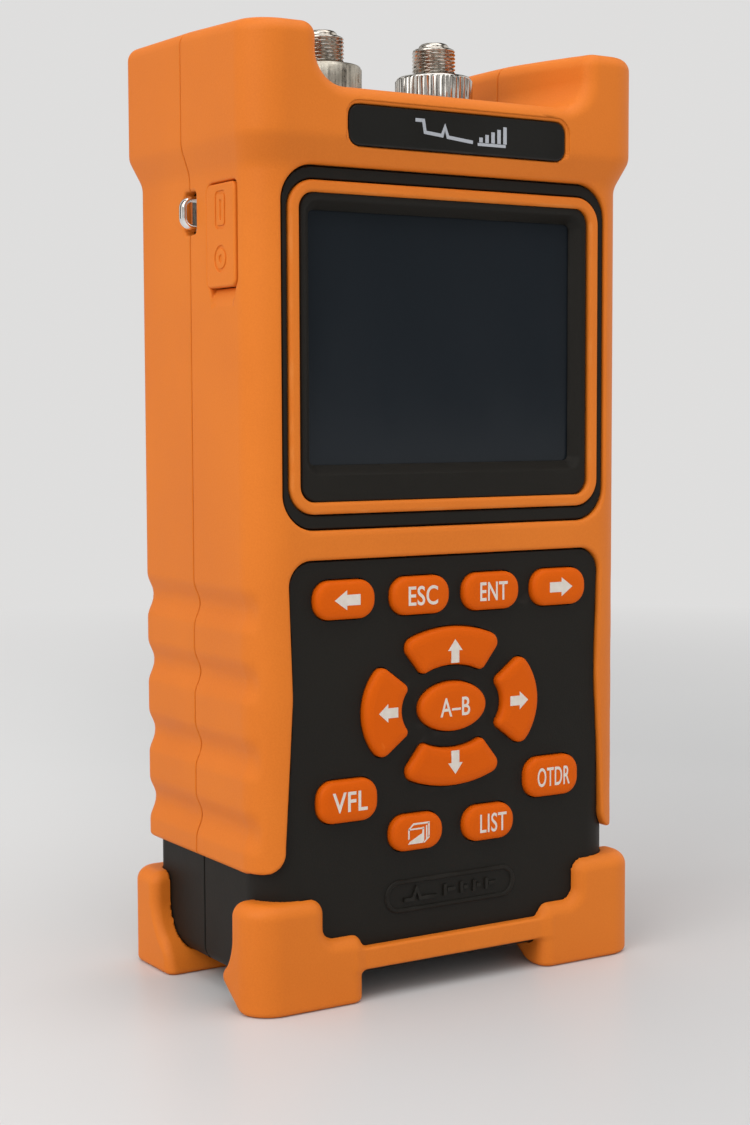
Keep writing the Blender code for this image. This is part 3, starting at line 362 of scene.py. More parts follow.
def rounded(corners, steps=8):
    """A closed outline from (u, v, radius) corners, anticlockwise."""
    outline = []
    count = len(corners)
    for i, (u, v, radius) in enumerate(corners):
        here = np.array((u, v), float)
        if radius <= 0:
            outline.append(here)
            continue
        before = np.array(corners[i - 1][:2], float) - here
        after = np.array(corners[(i + 1) % count][:2], float) - here
        before /= np.linalg.norm(before)
        after /= np.linalg.norm(after)
        half = math.acos(max(-1.0, min(1.0, float(before @ after)))) / 2
        middle = here + (before + after) / np.linalg.norm(before + after) * radius / math.sin(half)
        first = here + before * radius / math.tan(half) - middle
        last = here + after * radius / math.tan(half) - middle
        turn = math.atan2(first[0] * last[1] - first[1] * last[0], float(first @ last))
        for step in range(steps + 1):
            angle = turn * step / steps
            c, s = math.cos(angle), math.sin(angle)
            outline.append(middle + np.array((c * first[0] - s * first[1], s * first[0] + c * first[1])))
    return np.array(outline)


def inset_corners(corners, amount):
    """The corners moved inwards by an amount, with their radii made smaller."""
    spots = np.array([corner[:2] for corner in corners], float)
    before = spots - np.roll(spots, 1, 0)
    after = np.roll(spots, -1, 0) - spots
    before /= np.linalg.norm(before, axis=1)[:, None]
    after /= np.linalg.norm(after, axis=1)[:, None]
    first = np.stack((-before[:, 1], before[:, 0]), 1)
    second = np.stack((-after[:, 1], after[:, 0]), 1)
    middle = first + second
    middle /= np.linalg.norm(middle, axis=1)[:, None]
    reach = amount / np.maximum((middle * first).sum(1), 0.3)
    moved = spots + middle * reach[:, None]
    made = []
    for spot, corner in zip(moved, corners):
        radius = corner[2]
        made.append((spot[0], spot[1], max(radius - amount, 0.12) if radius > 0 else 0.0))
    return made


def panel(half, low, high, radius, centre=0.0):
    """The corners of a rounded rectangle, from its half width, bottom, top and radius."""
    return [
        (centre - half, low, radius),
        (centre + half, low, radius),
        (centre + half, high, radius),
        (centre - half, high, radius),
    ]


def span_panel(low, high, radius, grow=0.0):
    """The rounded rectangle of a CAD box seen along Y."""
    middle = (low[0] + high[0]) / 2
    half = (high[0] - low[0]) / 2 + grow
    return panel(half, low[2] - grow, high[2] + grow, radius + grow, middle)


TO_SPACE = {
    "Y": lambda uv, depth: np.stack((uv[:, 0], np.full(len(uv), depth), uv[:, 1]), 1),
    "X": lambda uv, depth: np.stack((np.full(len(uv), depth), uv[:, 0], uv[:, 1]), 1),
    "Z": lambda uv, depth: np.stack((uv[:, 0], uv[:, 1], np.full(len(uv), depth)), 1),
}


def loft(name, rings, look=None, axis="Y", closed=False):
    """A solid through rings of equal length, each (outline, depth). A closed loft is a ring."""
    points = np.concatenate([TO_SPACE[axis](outline, depth) for outline, depth in rings])
    count = len(rings[0][0])
    faces = []
    pairs = list(zip(range(len(rings)), range(1, len(rings))))
    if closed:
        pairs.append((len(rings) - 1, 0))
    for a, b in pairs:
        for i in range(count):
            j = (i + 1) % count
            faces.append((a * count + i, a * count + j, b * count + j, b * count + i))
    if not closed:
        faces.append(tuple(range(count))[::-1])
        faces.append(tuple(range((len(rings) - 1) * count, len(rings) * count)))
    obj = new_object(name, points, faces, look)
    outwards(obj)
    return obj


def outwards(obj):
    """Turns every face of a closed mesh to face out."""
    work = bmesh.new()
    work.from_mesh(obj.data)
    bmesh.ops.recalc_face_normals(work, faces=work.faces)
    work.to_mesh(obj.data)
    work.free()
    return obj


def round_edge(radius, steps=5):
    """(inset, drop) pairs of a quarter round, from the side to the face."""
    turns = [math.pi / 2 * i / steps for i in range(steps + 1)]
    return [(radius * (1 - math.cos(t)), radius * (1 - math.sin(t))) for t in turns]


def button(name, corners, back, front, radius, look, steps=8, axis="Y"):
    """A plate that stands from back to front along its axis, with its front edge rounded."""
    sign = -1.0 if front < back else 1.0
    rings = [(rounded(corners, steps), back)]
    for inset, drop in round_edge(radius):
        rings.append((rounded(inset_corners(corners, inset), steps), front - sign * drop))
    return cleaned(loft(name, rings, look, axis))


def slab(name, outline, start, end, axis="Y"):
    """An outline drawn out straight, mostly as a cutter."""
    return loft(name, [(outline, start), (outline, end)], None, axis)


def block(name, low, high):
    """A plain cutter between two corners."""
    low, high = np.array(low, float), np.array(high, float)
    outline = np.array([(low[0], low[2]), (high[0], low[2]), (high[0], high[2]), (low[0], high[2])])
    return slab(name, outline, low[1], high[1])


# ---------------------------------------------------------------- distance fields


def round_and(a, b, radius):
    """What two shapes share, with a round of this radius along their common edge."""
    corner = np.hypot(np.maximum(a + radius, 0), np.maximum(b + radius, 0))
    return np.minimum(-radius, np.maximum(a, b)) + corner


def round_or(a, b, radius):
    """Both shapes together, with a fillet of this radius where they meet."""
    corner = np.hypot(np.maximum(radius - a, 0), np.maximum(radius - b, 0))
    return np.maximum(radius, np.minimum(a, b)) - corner


def without(a, b, radius):
    """The first shape less the second, with a round along the cut's edge."""
    return round_and(a, -b, radius)


def flat_box(u, v, half_u, half_v, radius):
    """Distance to a rounded rectangle centred on the origin."""
    q, p = np.abs(u) - half_u + radius, np.abs(v) - half_v + radius
    return np.minimum(np.maximum(q, p), 0) + np.hypot(np.maximum(q, 0), np.maximum(p, 0)) - radius


def box_outline(u, v, low, high, axis, grow, radius):
    """Distance to a CAD box seen along an axis, with u and v measured across and up."""
    side = {"Y": 0, "X": 1}[axis]
    middle_u, middle_v = (low[side] + high[side]) / 2, (low[2] + high[2]) / 2
    half_u, half_v = (high[side] - low[side]) / 2 + grow, (high[2] - low[2]) / 2 + grow
    return flat_box(u - middle_u, v - middle_v, half_u, half_v, radius)


def ease(value):
    """A smooth step from 0 to 1."""
    value = np.clip(value, 0.0, 1.0)
    return value * value * (3 - 2 * value)


def grid_lines(*spans):
    """Grid lines from (start, end, step) spans that follow each other."""
    parts = [np.linspace(a, b, max(1, round((b - a) / step)) + 1) for a, b, step in spans]
    return np.unique(np.round(np.concatenate(parts), 4))


def mirrored(lines):
    """Grid lines on both sides of zero."""
    return np.unique(np.concatenate((-lines, lines)))


SLOPE_STEP = 0.02


def slope_of(field, points):
    """The field's gradient at each point, from differences along the three axes."""
    parts = []
    for axis in range(3):
        ahead, behind = points.copy(), points.copy()
        ahead[:, axis] += SLOPE_STEP
        behind[:, axis] -= SLOPE_STEP
        parts.append((field(*ahead.T) - field(*behind.T)) / (2 * SLOPE_STEP))
    return np.stack(parts, 1)


def skin(field, xs, ys, zs):
    """Points and quads of the surface where a field of x, y and z is zero."""
    shape = (len(xs), len(ys), len(zs))
    value = np.array(np.broadcast_to(field(xs[:, None, None], ys[None, :, None], zs[None, None, :]), shape))
    inside = value < 0
    count = np.zeros([n - 1 for n in shape], np.int8)
    for i, j, k in itertools.product((0, 1), repeat=3):
        count += inside[i : shape[0] - 1 + i, j : shape[1] - 1 + j, k : shape[2] - 1 + k]
    busy = (count > 0) & (count < 8)
    number = int(busy.sum())
    index = np.full(busy.shape, -1)
    index[busy] = np.arange(number)
    total, hits, quads = np.zeros((number, 3)), np.zeros(number), []
    lines = (xs, ys, zs)
    for axis in range(3):
        first = [slice(None)] * 3
        first[axis] = slice(0, shape[axis] - 1)
        second = [slice(None)] * 3
        second[axis] = slice(1, shape[axis])
        spot = np.stack(np.nonzero(inside[tuple(first)] != inside[tuple(second)]), 1)
        after = spot.copy()
        after[:, axis] += 1
        near, far = value[tuple(spot.T)], value[tuple(after.T)]
        point = np.stack([lines[m][spot[:, m]] for m in range(3)], 1)
        point[:, axis] += near / (near - far) * (lines[axis][after[:, axis]] - lines[axis][spot[:, axis]])
        one, two = (axis + 1) % 3, (axis + 2) % 3
        cells = []
        for d_one, d_two in ((-1, -1), (0, -1), (0, 0), (-1, 0)):
            cell = spot.copy()
            cell[:, one] += d_one
            cell[:, two] += d_two
            cells.append(index[tuple(cell.T)])
        for cell in cells:
            hits += np.bincount(cell, minlength=number)
            for m in range(3):
                total[:, m] += np.bincount(cell, weights=point[:, m], minlength=number)
        quad = np.stack(cells, 1)
        entering = ~inside[tuple(spot.T)]
        quad[entering] = quad[entering][:, ::-1]
        quads.append(quad)
    points = total / hits[:, None]
    for _ in range(4):
        slope = slope_of(field, points)
        steep = np.maximum((slope**2).sum(1), 0.2)
        step = (field(*points.T) / steep)[:, None] * slope
        reach = np.linalg.norm(step, axis=1)[:, None]
        points -= step * np.minimum(1.0, 0.4 / np.maximum(reach, 1e-9))
    return points, np.concatenate(quads)


def skinned(name, field, xs, ys, zs, look, cutters=()):
    """The object of a field's surface, with plain cutters taken out of it and exact normals."""
    obj = new_object(name, *skin(field, xs, ys, zs), look)
    if cutters:
        carve(obj, cutters)
        if not obj.data.materials:
            obj.data.materials.append(look)
    mesh = obj.data
    mesh.shade_smooth()
    points = np.empty(len(mesh.vertices) * 3)
    mesh.vertices.foreach_get("co", points)
    points = points.reshape(-1, 3) / MM - RAISE
    normals = np.empty(len(mesh.vertices) * 3)
    mesh.vertices.foreach_get("normal", normals)
    normals = normals.reshape(-1, 3)
    slope = slope_of(field, points)
    length = np.linalg.norm(slope, axis=1)
    near = (np.abs(field(*points.T)) < 0.03) & (length > 0.5)
    normals[near] = slope[near] / length[near, None]
    mesh.normals_split_custom_set_from_vertices(normals.tolist())
    return obj


# ---------------------------------------------------------------- rubber boots

BODY_HALF = 45.8
BODY_FRONT = 26.4
BODY_REAR = 26.7
BUMPER_OUT = BOOT_HIGH[0] - BODY_HALF
BUMPER_DEPTH = -BOOT_LOW[1]
FLARE_LOW = 165.2
FLARE_RISE = 5.6
GROOVES = (79.3, 65.1, 49.8, 35.0)
GROOVE_HALF = 4.9
GROOVE_DEPTH = 1.4
BOOT_BOTTOM = BOOT_LOW[2]
BOOT_TOP = BOOT_HIGH[2]
BOOT_CORNER_FRONT = 8.0
BOOT_CORNER_REAR = 4.0
TOP_FALL = 1.4
TOP_RISE = 0.6
SADDLE_FLOOR = 182.1
SADDLE_HALF = 31.0
WINDOW_DEPTH = 20.0
DISPLAY_WINDOW = (39.8, 95.1, 166.8, 7.2)
PAD_TOP = 89.2
PAD_WAIST = 62.0
SIDE_DEPTH = 40.0
WELL = (29.0, -14.0, 18.0, 4.0)
SUNK_HALF = 43.2
SUNK_FRONT = -24.3
SUNK_REAR = 24.0
SUNK_EDGE = 6.0
SEAM_PLANE = 1.5
SEAM_FRONT = SEAM_PLANE - 0.2
SEAM_REAR = SEAM_PLANE + 0.2
SEAM_ROUND = 0.15


def flare(z):
    """0 on the body and 1 on the bumper, with a soft foot and a tighter shoulder."""
    share = (z - FLARE_LOW) / FLARE_RISE
    foot = np.where(share < 0.45, np.maximum(share, 0) ** 2 / 0.9, share - 0.225)
    return np.minimum(np.where(foot > 0.82, 1 - np.maximum(1.18 - foot, 0) ** 2 / 0.72, foot), 1.0)


def groove(z):
    """How deep the grip's grooves are at a height."""
    depth = 0.0
    for centre in GROOVES:
        away = np.minimum(np.abs(z - centre) / GROOVE_HALF, 1.0)
        depth = depth + GROOVE_DEPTH * (0.5 + 0.5 * np.cos(math.pi * away))
    return depth


def boot_body(x, y, z):
    """Both halves of the boot as one: body, bumper with its horns, grooves and the wells."""
    share = flare(z)
    half = BODY_HALF + share * BUMPER_OUT
    front = BODY_FRONT + share * (BUMPER_DEPTH - BODY_FRONT)
    rear = BODY_REAR + share * (BUMPER_DEPTH - BODY_REAR)
    radius = np.where(y < 0, BOOT_CORNER_FRONT, BOOT_CORNER_REAR)
    q = np.abs(x) - half + radius
    p = np.abs(y) - np.where(y < 0, front, rear) + radius
    corner = np.hypot(np.maximum(q, 0), np.maximum(p, 0))
    plan = np.minimum(np.maximum(q, p), 0) + corner - radius
    sideways = np.maximum(q, 0) / np.maximum(corner, 1e-6)
    sideways = np.where(y < 0, ease((sideways - 0.7) / 0.3), ease(sideways))
    plan = plan + groove(z) * sideways
    top = z - BOOT_TOP + (TOP_FALL * np.maximum(-y, 0) - TOP_RISE * np.maximum(y, 0)) / BUMPER_DEPTH
    body = round_and(plan, top, 2.8)
    body = round_and(body, BOOT_BOTTOM - z, 1.0)
    dip = round_and(np.abs(x) - SADDLE_HALF - 2.0 * (y / BUMPER_DEPTH) ** 2, SADDLE_FLOOR - z, 6.6)
    body = without(body, dip, 3.0)
    well = flat_box(x, y - (WELL[1] + WELL[2]) / 2, WELL[0], (WELL[2] - WELL[1]) / 2, WELL[3])
    body = without(body, well, 0.8)
    lug_middle = (LUG_LOW[2] + LUG_HIGH[2]) / 2
    lug = flat_box(y - SEAM_PLANE, z - lug_middle, 2.7, (LUG_HIGH[2] - LUG_LOW[2]) / 2 + 0.6, 1.2)
    return without(body, np.maximum(lug, x + SIDE_DEPTH), 0.6)


def pad_window(x, z):
    """The keypad window: its sides draw in to a waist, and it is open at its bottom."""
    above = (z - PAD_WAIST) * 0.9 / (PAD_TOP - PAD_WAIST)
    below = np.clip((PAD_WAIST - z) / 30.0, 0, 1) * 1.7
    return round_and(np.abs(x) - 37.9 - np.where(z > PAD_WAIST, above, below), z - PAD_TOP, 5.3)


def leg_outline(x, z):
    """The front of the boot beside the keypad, with its lower inside corners rounded."""
    return round_and(-pad_window(x, z), BOOT_BOTTOM - z, 5.0)


def front_boot(x, y, z):
    """The front half: windows for the display and the keypad, plate recess and flap well."""
    body = boot_body(x, y, z)
    half, low, high, radius = DISPLAY_WINDOW
    display = flat_box(x, z - (low + high) / 2, half, (high - low) / 2, radius)
    ahead = -y - WINDOW_DEPTH
    body = round_and(body, np.minimum(-display, ahead), 0.8)
    body = round_and(body, np.minimum(leg_outline(x, z), ahead), 0.8)
    plate = box_outline(x, z, PLATE_LOW, PLATE_HIGH, "Y", 0.15, 2.5)
    body = without(body, np.maximum(plate - 0.65, y + 28.75), 0.15)
    body = without(body, np.maximum(plate, y - PLATE_HIGH[1] - GAP), 0.15)
    across = y - (FLAP_LOW[1] + FLAP_HIGH[1]) / 2
    rise = z - (FLAP_LOW[2] + FLAP_HIGH[2]) / 2
    flap_half = (FLAP_HIGH[2] - FLAP_LOW[2]) / 2
    window = flat_box(across, rise - 0.1, (FLAP_HIGH[1] - FLAP_LOW[1]) / 2 + GAP, flap_half + GAP - 0.1, 1.6)
    body = without(body, np.maximum(window, x + SIDE_DEPTH), 0.5)
    drop = z - FLAP_LOW[2] + 3.4
    scoop = np.maximum(np.abs(across) - 4.3 - 0.35 * drop, x + BODY_HALF - 0.40 * drop)
    scoop = np.maximum(scoop, z - FLAP_LOW[2] - 0.5)
    body = without(body, np.maximum(scoop, -z + FLAP_LOW[2] - 3.6), 0.5)
    return round_and(body, y - SEAM_FRONT, SEAM_ROUND)


def rear_boot(x, y, z):
    """The rear half: an opening for the battery door and a shallow place for the label."""
    body = boot_body(x, y, z)
    door = box_outline(x, z, DOOR_LOW, DOOR_HIGH, "Y", GAP, 3.3)
    body = without(body, np.maximum(door, 20.0 - y), 0.7)
    label = box_outline(x, z, LABEL_LOW, LABEL_HIGH, "Y", GAP, 2.3)
    body = without(body, np.maximum(label, BODY_REAR - 0.6 - y), 0.4)
    return round_and(body, SEAM_REAR - y, SEAM_ROUND)


def core_block(name, grow, low, high):
    """The inside of the boot or of a shell: a plain block with rounded upright edges."""
    corners = panel(SUNK_HALF + grow, low, high, SUNK_EDGE + grow)
    return slab(name, rounded(corners, 6), -5.0, CASE_HIGH[2] + grow, "Z")


BOOT_X = mirrored(grid_lines(
    (0, 25, 3.2), (25, 27.5, 0.4), (27.5, 36.5, 0.6), (36.5, 41, 0.36), (41, 43.5, 0.6), (43.5, 48.6, 0.45),
))
BOOT_Z = grid_lines(
    (25.6, 32.5, 0.45), (32.5, 84, 0.85), (84, 88, 0.8), (88, 90.5, 0.36), (90.5, 94.4, 1.3),
    (94.4, 103, 0.5), (103, 139, 3.0), (139, 145, 0.4), (145, 153.6, 1.4), (153.6, 160, 0.5),
    (160, 171.6, 0.42), (171.6, 177, 0.9), (177, 182, 0.42), (182, 190.5, 0.5), (190.5, 196.5, 0.4),
)
FRONT_Y = grid_lines(
    (-29.9, -23.6, 0.36), (-23.6, -19.4, 0.55), (-19.4, -17.4, 0.36), (-17.4, -15.2, 0.8),
    (-15.2, -13, 0.36), (-13, -7.4, 1.4), (-7.4, -5.8, 0.4), (-5.8, -2.1, 0.9), (-2.1, -0.3, 0.36),
    (-0.3, 0.8, 0.37), (0.8, 1.6, 0.1),
)
REAR_Z = grid_lines(
    (25.6, 32.5, 0.5), (32.5, 35.5, 1.0), (35.5, 38.5, 0.4), (38.5, 92, 1.2), (92, 95.5, 0.4),
    (95.5, 107, 1.8), (107, 109, 0.4), (109, 145, 3.0), (145, 147, 0.4), (147, 153.6, 1.4),
    (153.6, 164, 0.6), (164, 172.5, 0.5), (172.5, 177, 1.1), (177, 182, 0.5), (182, 190.5, 0.6),
    (190.5, 196.6, 0.42),
)
REAR_Y = grid_lines(
    (1.4, 2.2, 0.1), (2.2, 3.3, 0.37), (3.3, 5.1, 0.36), (5.1, 16.5, 1.6), (16.5, 19.6, 0.4),
    (19.6, 24, 0.6), (24, 29.9, 0.36),
)

void = core_block("void", GAP, SUNK_FRONT - GAP, 5.0)
boot_front = skinned("front_boot_skin", front_boot, BOOT_X, FRONT_Y, BOOT_Z, RUBBER, [void])
placed(boot_front, "case", "orange_rubber", "front_boot")
void = core_block("void", GAP, -5.0, SUNK_REAR + GAP)
boot_rear = skinned("rear_boot_skin", rear_boot, BOOT_X, REAR_Y, REAR_Z, RUBBER, [void])
placed(boot_rear, "case", "orange_rubber", "rear_boot")

# ---------------------------------------------------------------- hard case

CASE_EDGE = 4.5
CASE_FACE = -25.4
BAND_TOP = BOOT_BOTTOM - 0.06
ROOM_HALF = 41.4
WALL = 2.2
RING_CORNER = 5.7
PILL_KEYS = [f"key_{name}" for name in ("left", "escape", "enter", "right", "vfl", "otdr", "file", "list")]


def case_solid(x, y, z, grow=0.0):
    """The hard case, whose front upright edges are rounder at the base than behind the boot."""
    radius = np.where(y < 0, CASE_EDGE + 4.0 * np.clip((60.0 - z) / 30.0, 0, 1), CASE_EDGE) + grow
    q = np.abs(x) - CASE_HIGH[0] - grow + radius
    p = np.where(y < 0, CASE_FACE - y, y - REAR_HIGH[1]) - grow + radius
    plan = np.minimum(np.maximum(q, p), 0) + np.hypot(np.maximum(q, 0), np.maximum(p, 0)) - radius
    ends = np.abs(z - (CASE_LOW[2] + CASE_HIGH[2]) / 2) - (CASE_HIGH[2] - CASE_LOW[2]) / 2 - grow
    return round_and(plan, ends, 3.6 + grow)


def case_core(x, y, z):
    """The case behind the boot, where it is a little smaller."""
    plan = flat_box(x, y - (SUNK_FRONT + SUNK_REAR) / 2, SUNK_HALF, (SUNK_REAR - SUNK_FRONT) / 2, SUNK_EDGE)
    return np.maximum(plan, case_solid(x, y, z))


def front_case(x, y, z):
    """The front shell: base band, panels that fill the boot's windows, and the display's pocket."""
    whole = case_solid(x, y, z)
    half, low, high, radius = DISPLAY_WINDOW
    display = flat_box(x, z - (low + high) / 2, half - GAP, (high - low) / 2 - GAP, radius - GAP)
    panels = np.minimum(display, GAP - leg_outline(x, z))
    panels = np.maximum(whole, np.maximum(panels, y + WINDOW_DEPTH))
    shell = np.minimum(panels, np.maximum(whole, z - BAND_TOP))
    shell = np.minimum(shell, case_core(x, y, z))
    pocket = box_outline(x, z, RING_LOW, RING_HIGH, "Y", 0.25, RING_CORNER + 0.25)
    shell = without(shell, np.maximum(pocket, y - RING_HIGH[1] - 0.2), 0.25)
    return round_and(shell, y - SEAM_FRONT, SEAM_ROUND)


def rear_case(x, y, z):
    """The rear shell: base band and core."""
    shell = np.minimum(np.maximum(case_solid(x, y, z), z - BAND_TOP), case_core(x, y, z))
    return round_and(shell, SEAM_REAR - y, SEAM_ROUND)


def key_corners():
    """The corners of each key's outline, centred on its CAD node."""
    made = {}
    for key in PILL_KEYS:
        low, high = span(key)
        made[key] = span_panel(low, high, 4.4, -KEY_FLANGE)
    low, high = span("key_cursor")
    centre = ((low[0] + high[0]) / 2, (low[2] + high[2]) / 2)
    wide, tall = (high[0] - low[0]) / 2 - KEY_FLANGE, (high[2] - low[2]) / 2 - KEY_FLANGE
    made["key_cursor"] = [(*spot, 0.0) for spot in arc(centre, (wide, tall), 0, 360, 72)[:-1]]
    for key, direction, outer_span, inner_span in CROSS_KEYS:
        outer = arc(centre, CROSS_OUTER, direction - outer_span, direction + outer_span, 30)
        inner = arc(centre, CROSS_INNER, direction + inner_span, direction - inner_span, 20)
        radii = [2.1] + [0.0] * 29 + [2.1, 1.3] + [0.0] * 19 + [1.3]
        spots = list(outer) + list(inner)
        keep = [i for i in range(len(spots)) if i not in CROSS_SKIPPED]
        made[key] = [(*spots[i], radii[i]) for i in keep]
    return made


def arc(centre, radii, start, end, steps):
    """Points of an ellipse's arc between two angles in degrees."""
    turns = np.radians(np.linspace(start, end, steps + 1))
    return np.stack((centre[0] + radii[0] * np.cos(turns), centre[1] + radii[1] * np.sin(turns)), 1)


KEY_FLANGE = 0.8
KEY_FRONT = span("key_left")[0][1]
CROSS_OUTER = (21.85, 16.65)
CROSS_INNER = (12.6, 8.7)
CROSS_KEYS = [
    ("key_cross_up", 90, 35.2, 36.0),
    ("key_cross_down", 270, 35.2, 36.0),
    ("key_cross_left", 180, 36.5, 32.5),
    ("key_cross_right", 0, 36.5, 32.5),
]
CROSS_SKIPPED = {1, 2, 3, 27, 28, 29, 32, 33, 49, 50}
KEY_SHAPES = key_corners()

CASE_X = mirrored(grid_lines((0, 30, 4.0), (30, 35, 1.0), (35, 39.9, 0.4), (39.9, 44.6, 0.4)))
CASE_Z = grid_lines(
    (2.6, 8.6, 0.45), (8.6, 25.6, 2.0), (25.6, 26.8, 0.3), (26.8, 83, 3.5), (83, 89.6, 0.5), (89.6, 95, 1.5),
    (95, 104.5, 0.45), (104.5, 158, 4.0), (158, 167, 0.45), (167, 174, 1.2), (174, 179.4, 0.6),
)
CASE_FRONT_Y = grid_lines(
    (-26.2, -23.4, 0.2), (-23.4, -18, 0.5), (-18, 0.2, 2.4), (0.2, 0.8, 0.3), (0.8, 1.6, 0.1),
)
CASE_REAR_Y = grid_lines((1.4, 2.2, 0.1), (2.2, 2.8, 0.3), (2.8, 17.6, 2.4), (17.6, 25.4, 0.45))


def room():
    """The space inside the shells, with rounded upright edges."""
    low, high = CASE_FACE + WALL, REAR_HIGH[1] - WALL
    corners = [(-ROOM_HALF, low, 6.5), (ROOM_HALF, low, 6.5), (ROOM_HALF, high, 2.5), (-ROOM_HALF, high, 2.5)]
    return slab("room", rounded(corners, 6), CASE_LOW[2] + WALL, CASE_HIGH[2] - WALL, "Z")


def top_hole():
    """The opening in the case's top under the boot's well."""
    return slab("top", rounded(panel(*WELL), 6), CASE_HIGH[2] - 6, CASE_HIGH[2] + 6, "Z")


view = rounded(span_panel(RING_LOW, RING_HIGH, RING_CORNER, -2.45), 8)
cutters = [room(), slab("view", view, -30.0, -18.0), top_hole()]
for key, corners in KEY_SHAPES.items():
    cutters.append(slab(f"{key}_hole", rounded(inset_corners(corners, -0.28), 8), -29.0, -20.0))
for socket in ("usb_socket", "charge_jack"):
    low, high = span(socket)
    low, high = (-50.0, low[1] - GAP, low[2] - GAP), (-SIDE_DEPTH, high[1] + GAP, high[2] + GAP)
    cutters.append(block(f"{socket}_hole", low, high))
case_front = skinned("front_case_shell", front_case, CASE_X, CASE_FRONT_Y, CASE_Z, BLACK, cutters)
placed(case_front, "case", "black_plastic", "front_case")
cutters = [room(), top_hole()]
case_rear = skinned("rear_case_shell", rear_case, CASE_X, CASE_REAR_Y, CASE_Z, BLACK, cutters)
placed(case_rear, "case", "black_plastic", "rear_case")

# ---------------------------------------------------------------- seam seals

# A thin strip in each side wall closes the seam, so that no light passes between the halves.
SEAL_INNER, SEAL_OUTER = ROOM_HALF + 0.3, ROOM_HALF + WALL - 0.3
SEAL_LOW, SEAL_HIGH = CASE_LOW[2] + 0.8, BOOT_TOP - 1.0
SEAL_ROUND = 0.6
SEAL_SQUEEZE = 0.02
for side, turn in (("left", -1), ("right", 1)):
    half, centre = (SEAL_OUTER - SEAL_INNER) / 2, (SEAL_OUTER + SEAL_INNER) / 2
    outline = rounded(panel(half, SEAL_LOW, SEAL_HIGH, SEAL_ROUND, centre), 4) * (turn, 1.0)
    ends = [(outline, SEAM_FRONT - SEAL_SQUEEZE), (outline, SEAM_REAR + SEAL_SQUEEZE)]
    placed(loft(f"seam_seal_{side}", ends, BLACK), "case", "black_plastic")

# ---------------------------------------------------------------- foot bumpers


SOLE = -LIFT
FRONT_FOOT_TOP = FOOT_HIGH[2]
REAR_FOOT_TOP = REAR_FOOT_HIGH[2]
FOOT_HALF = FOOT_HIGH[0]
FOOT_INNER = 31.5
STEP_INNER = 22.3
STEP_TOP = 12.6
STRIP_MIDDLE = 7.6
STRIP_HALF = 2.3
FRONT_FOOT_BACK = [
    ((17.6, FRONT_FOOT_TOP), (17.5, 9.8)),
    ((17.5, 9.8), (12.0, 4.8)),
    ((12.0, 4.8), (20.5, SOLE)),
]
REAR_FOOT_BACK = [
    ((17.4, REAR_FOOT_TOP), (17.3, 9.0)),
    ((17.3, 9.0), (11.2, 4.4)),
    ((11.2, 4.4), (9.8, SOLE)),
]


def side_of(u, v, start, end):
    """Distance to the line from start down to end, negative on the side of the larger u."""
    length = math.hypot(end[0] - start[0], end[1] - start[1])
    return ((u - start[0]) * (end[1] - start[1]) - (v - start[1]) * (end[0] - start[0])) / length


def bumper(x, z, depth, face, top, corner, upper):
    """Two stepped corner feet and the strip between them, seen from their own side."""
    tall = round_and(FOOT_INNER - np.abs(x), z - top, 3.0)
    low = round_and(STEP_INNER - np.abs(x), z - STEP_TOP, 2.5)
    plan = round_and(np.abs(x) - FOOT_HALF, depth - face, corner)
    shape = round_and(round_or(tall, low, 2.5), plan, 3.0)
    shape = round_and(round_and(shape, upper, 2.2), SOLE - z, 1.1)
    strip_face = face - 0.5
    strip = np.maximum(np.abs(z - STRIP_MIDDLE) - STRIP_HALF, np.abs(x) - 25.0)
    strip = round_and(strip, depth - strip_face, 0.7)
    strip = np.maximum(strip, strip_face - 5.0 - depth)
    return round_or(shape, strip, 1.2)


def front_foot(x, y, z):
    back = [side_of(-y, z, start, end) for start, end in FRONT_FOOT_BACK]
    upper = round_and(round_or(back[0], back[1], 2.0), back[2], 2.6)
    shape = bumper(x, z, -y, -FOOT_LOW[1], FRONT_FOOT_TOP, 7.0, upper)
    return np.maximum(shape, -case_solid(x, y, z, 0.1))


def rear_foot(x, y, z):
    back = [side_of(y, z, start, end) for start, end in REAR_FOOT_BACK]
    upper = round_or(back[0], round_and(back[1], back[2], 2.0), 3.5)
    shape = bumper(x, z, y, REAR_FOOT_HIGH[1], REAR_FOOT_TOP, 5.0, upper)
    return np.maximum(shape, -case_solid(x, y, z, 0.1))


FOOT_X = mirrored(grid_lines(
    (0, 20, 2.5), (20, 26, 0.45), (26, 29, 0.8), (29, 36.5, 0.45), (36.5, 41, 0.8), (41, 49, 0.42),
))
FOOT_Z = grid_lines((SOLE - 0.6, 3, 0.45), (3, 16.5, 0.55), (16.5, FRONT_FOOT_TOP + 0.7, 0.42))
FRONT_FOOT_Y = grid_lines((-28.9, -20, 0.42), (-20, -11.5, 0.5))
REAR_FOOT_Y = grid_lines((8.4, 18.5, 0.5), (18.5, 22, 0.9), (22, 29.8, 0.42))
foot = skinned("front_foot_rubber", front_foot, FOOT_X, FRONT_FOOT_Y, FOOT_Z, RUBBER)
placed(foot, "case", "orange_rubber", "front_foot_bumper")
foot = skinned("rear_foot_rubber", rear_foot, FOOT_X, REAR_FOOT_Y, FOOT_Z, RUBBER)
placed(foot, "case", "orange_rubber", "rear_foot_bumper")

# ---------------------------------------------------------------- display

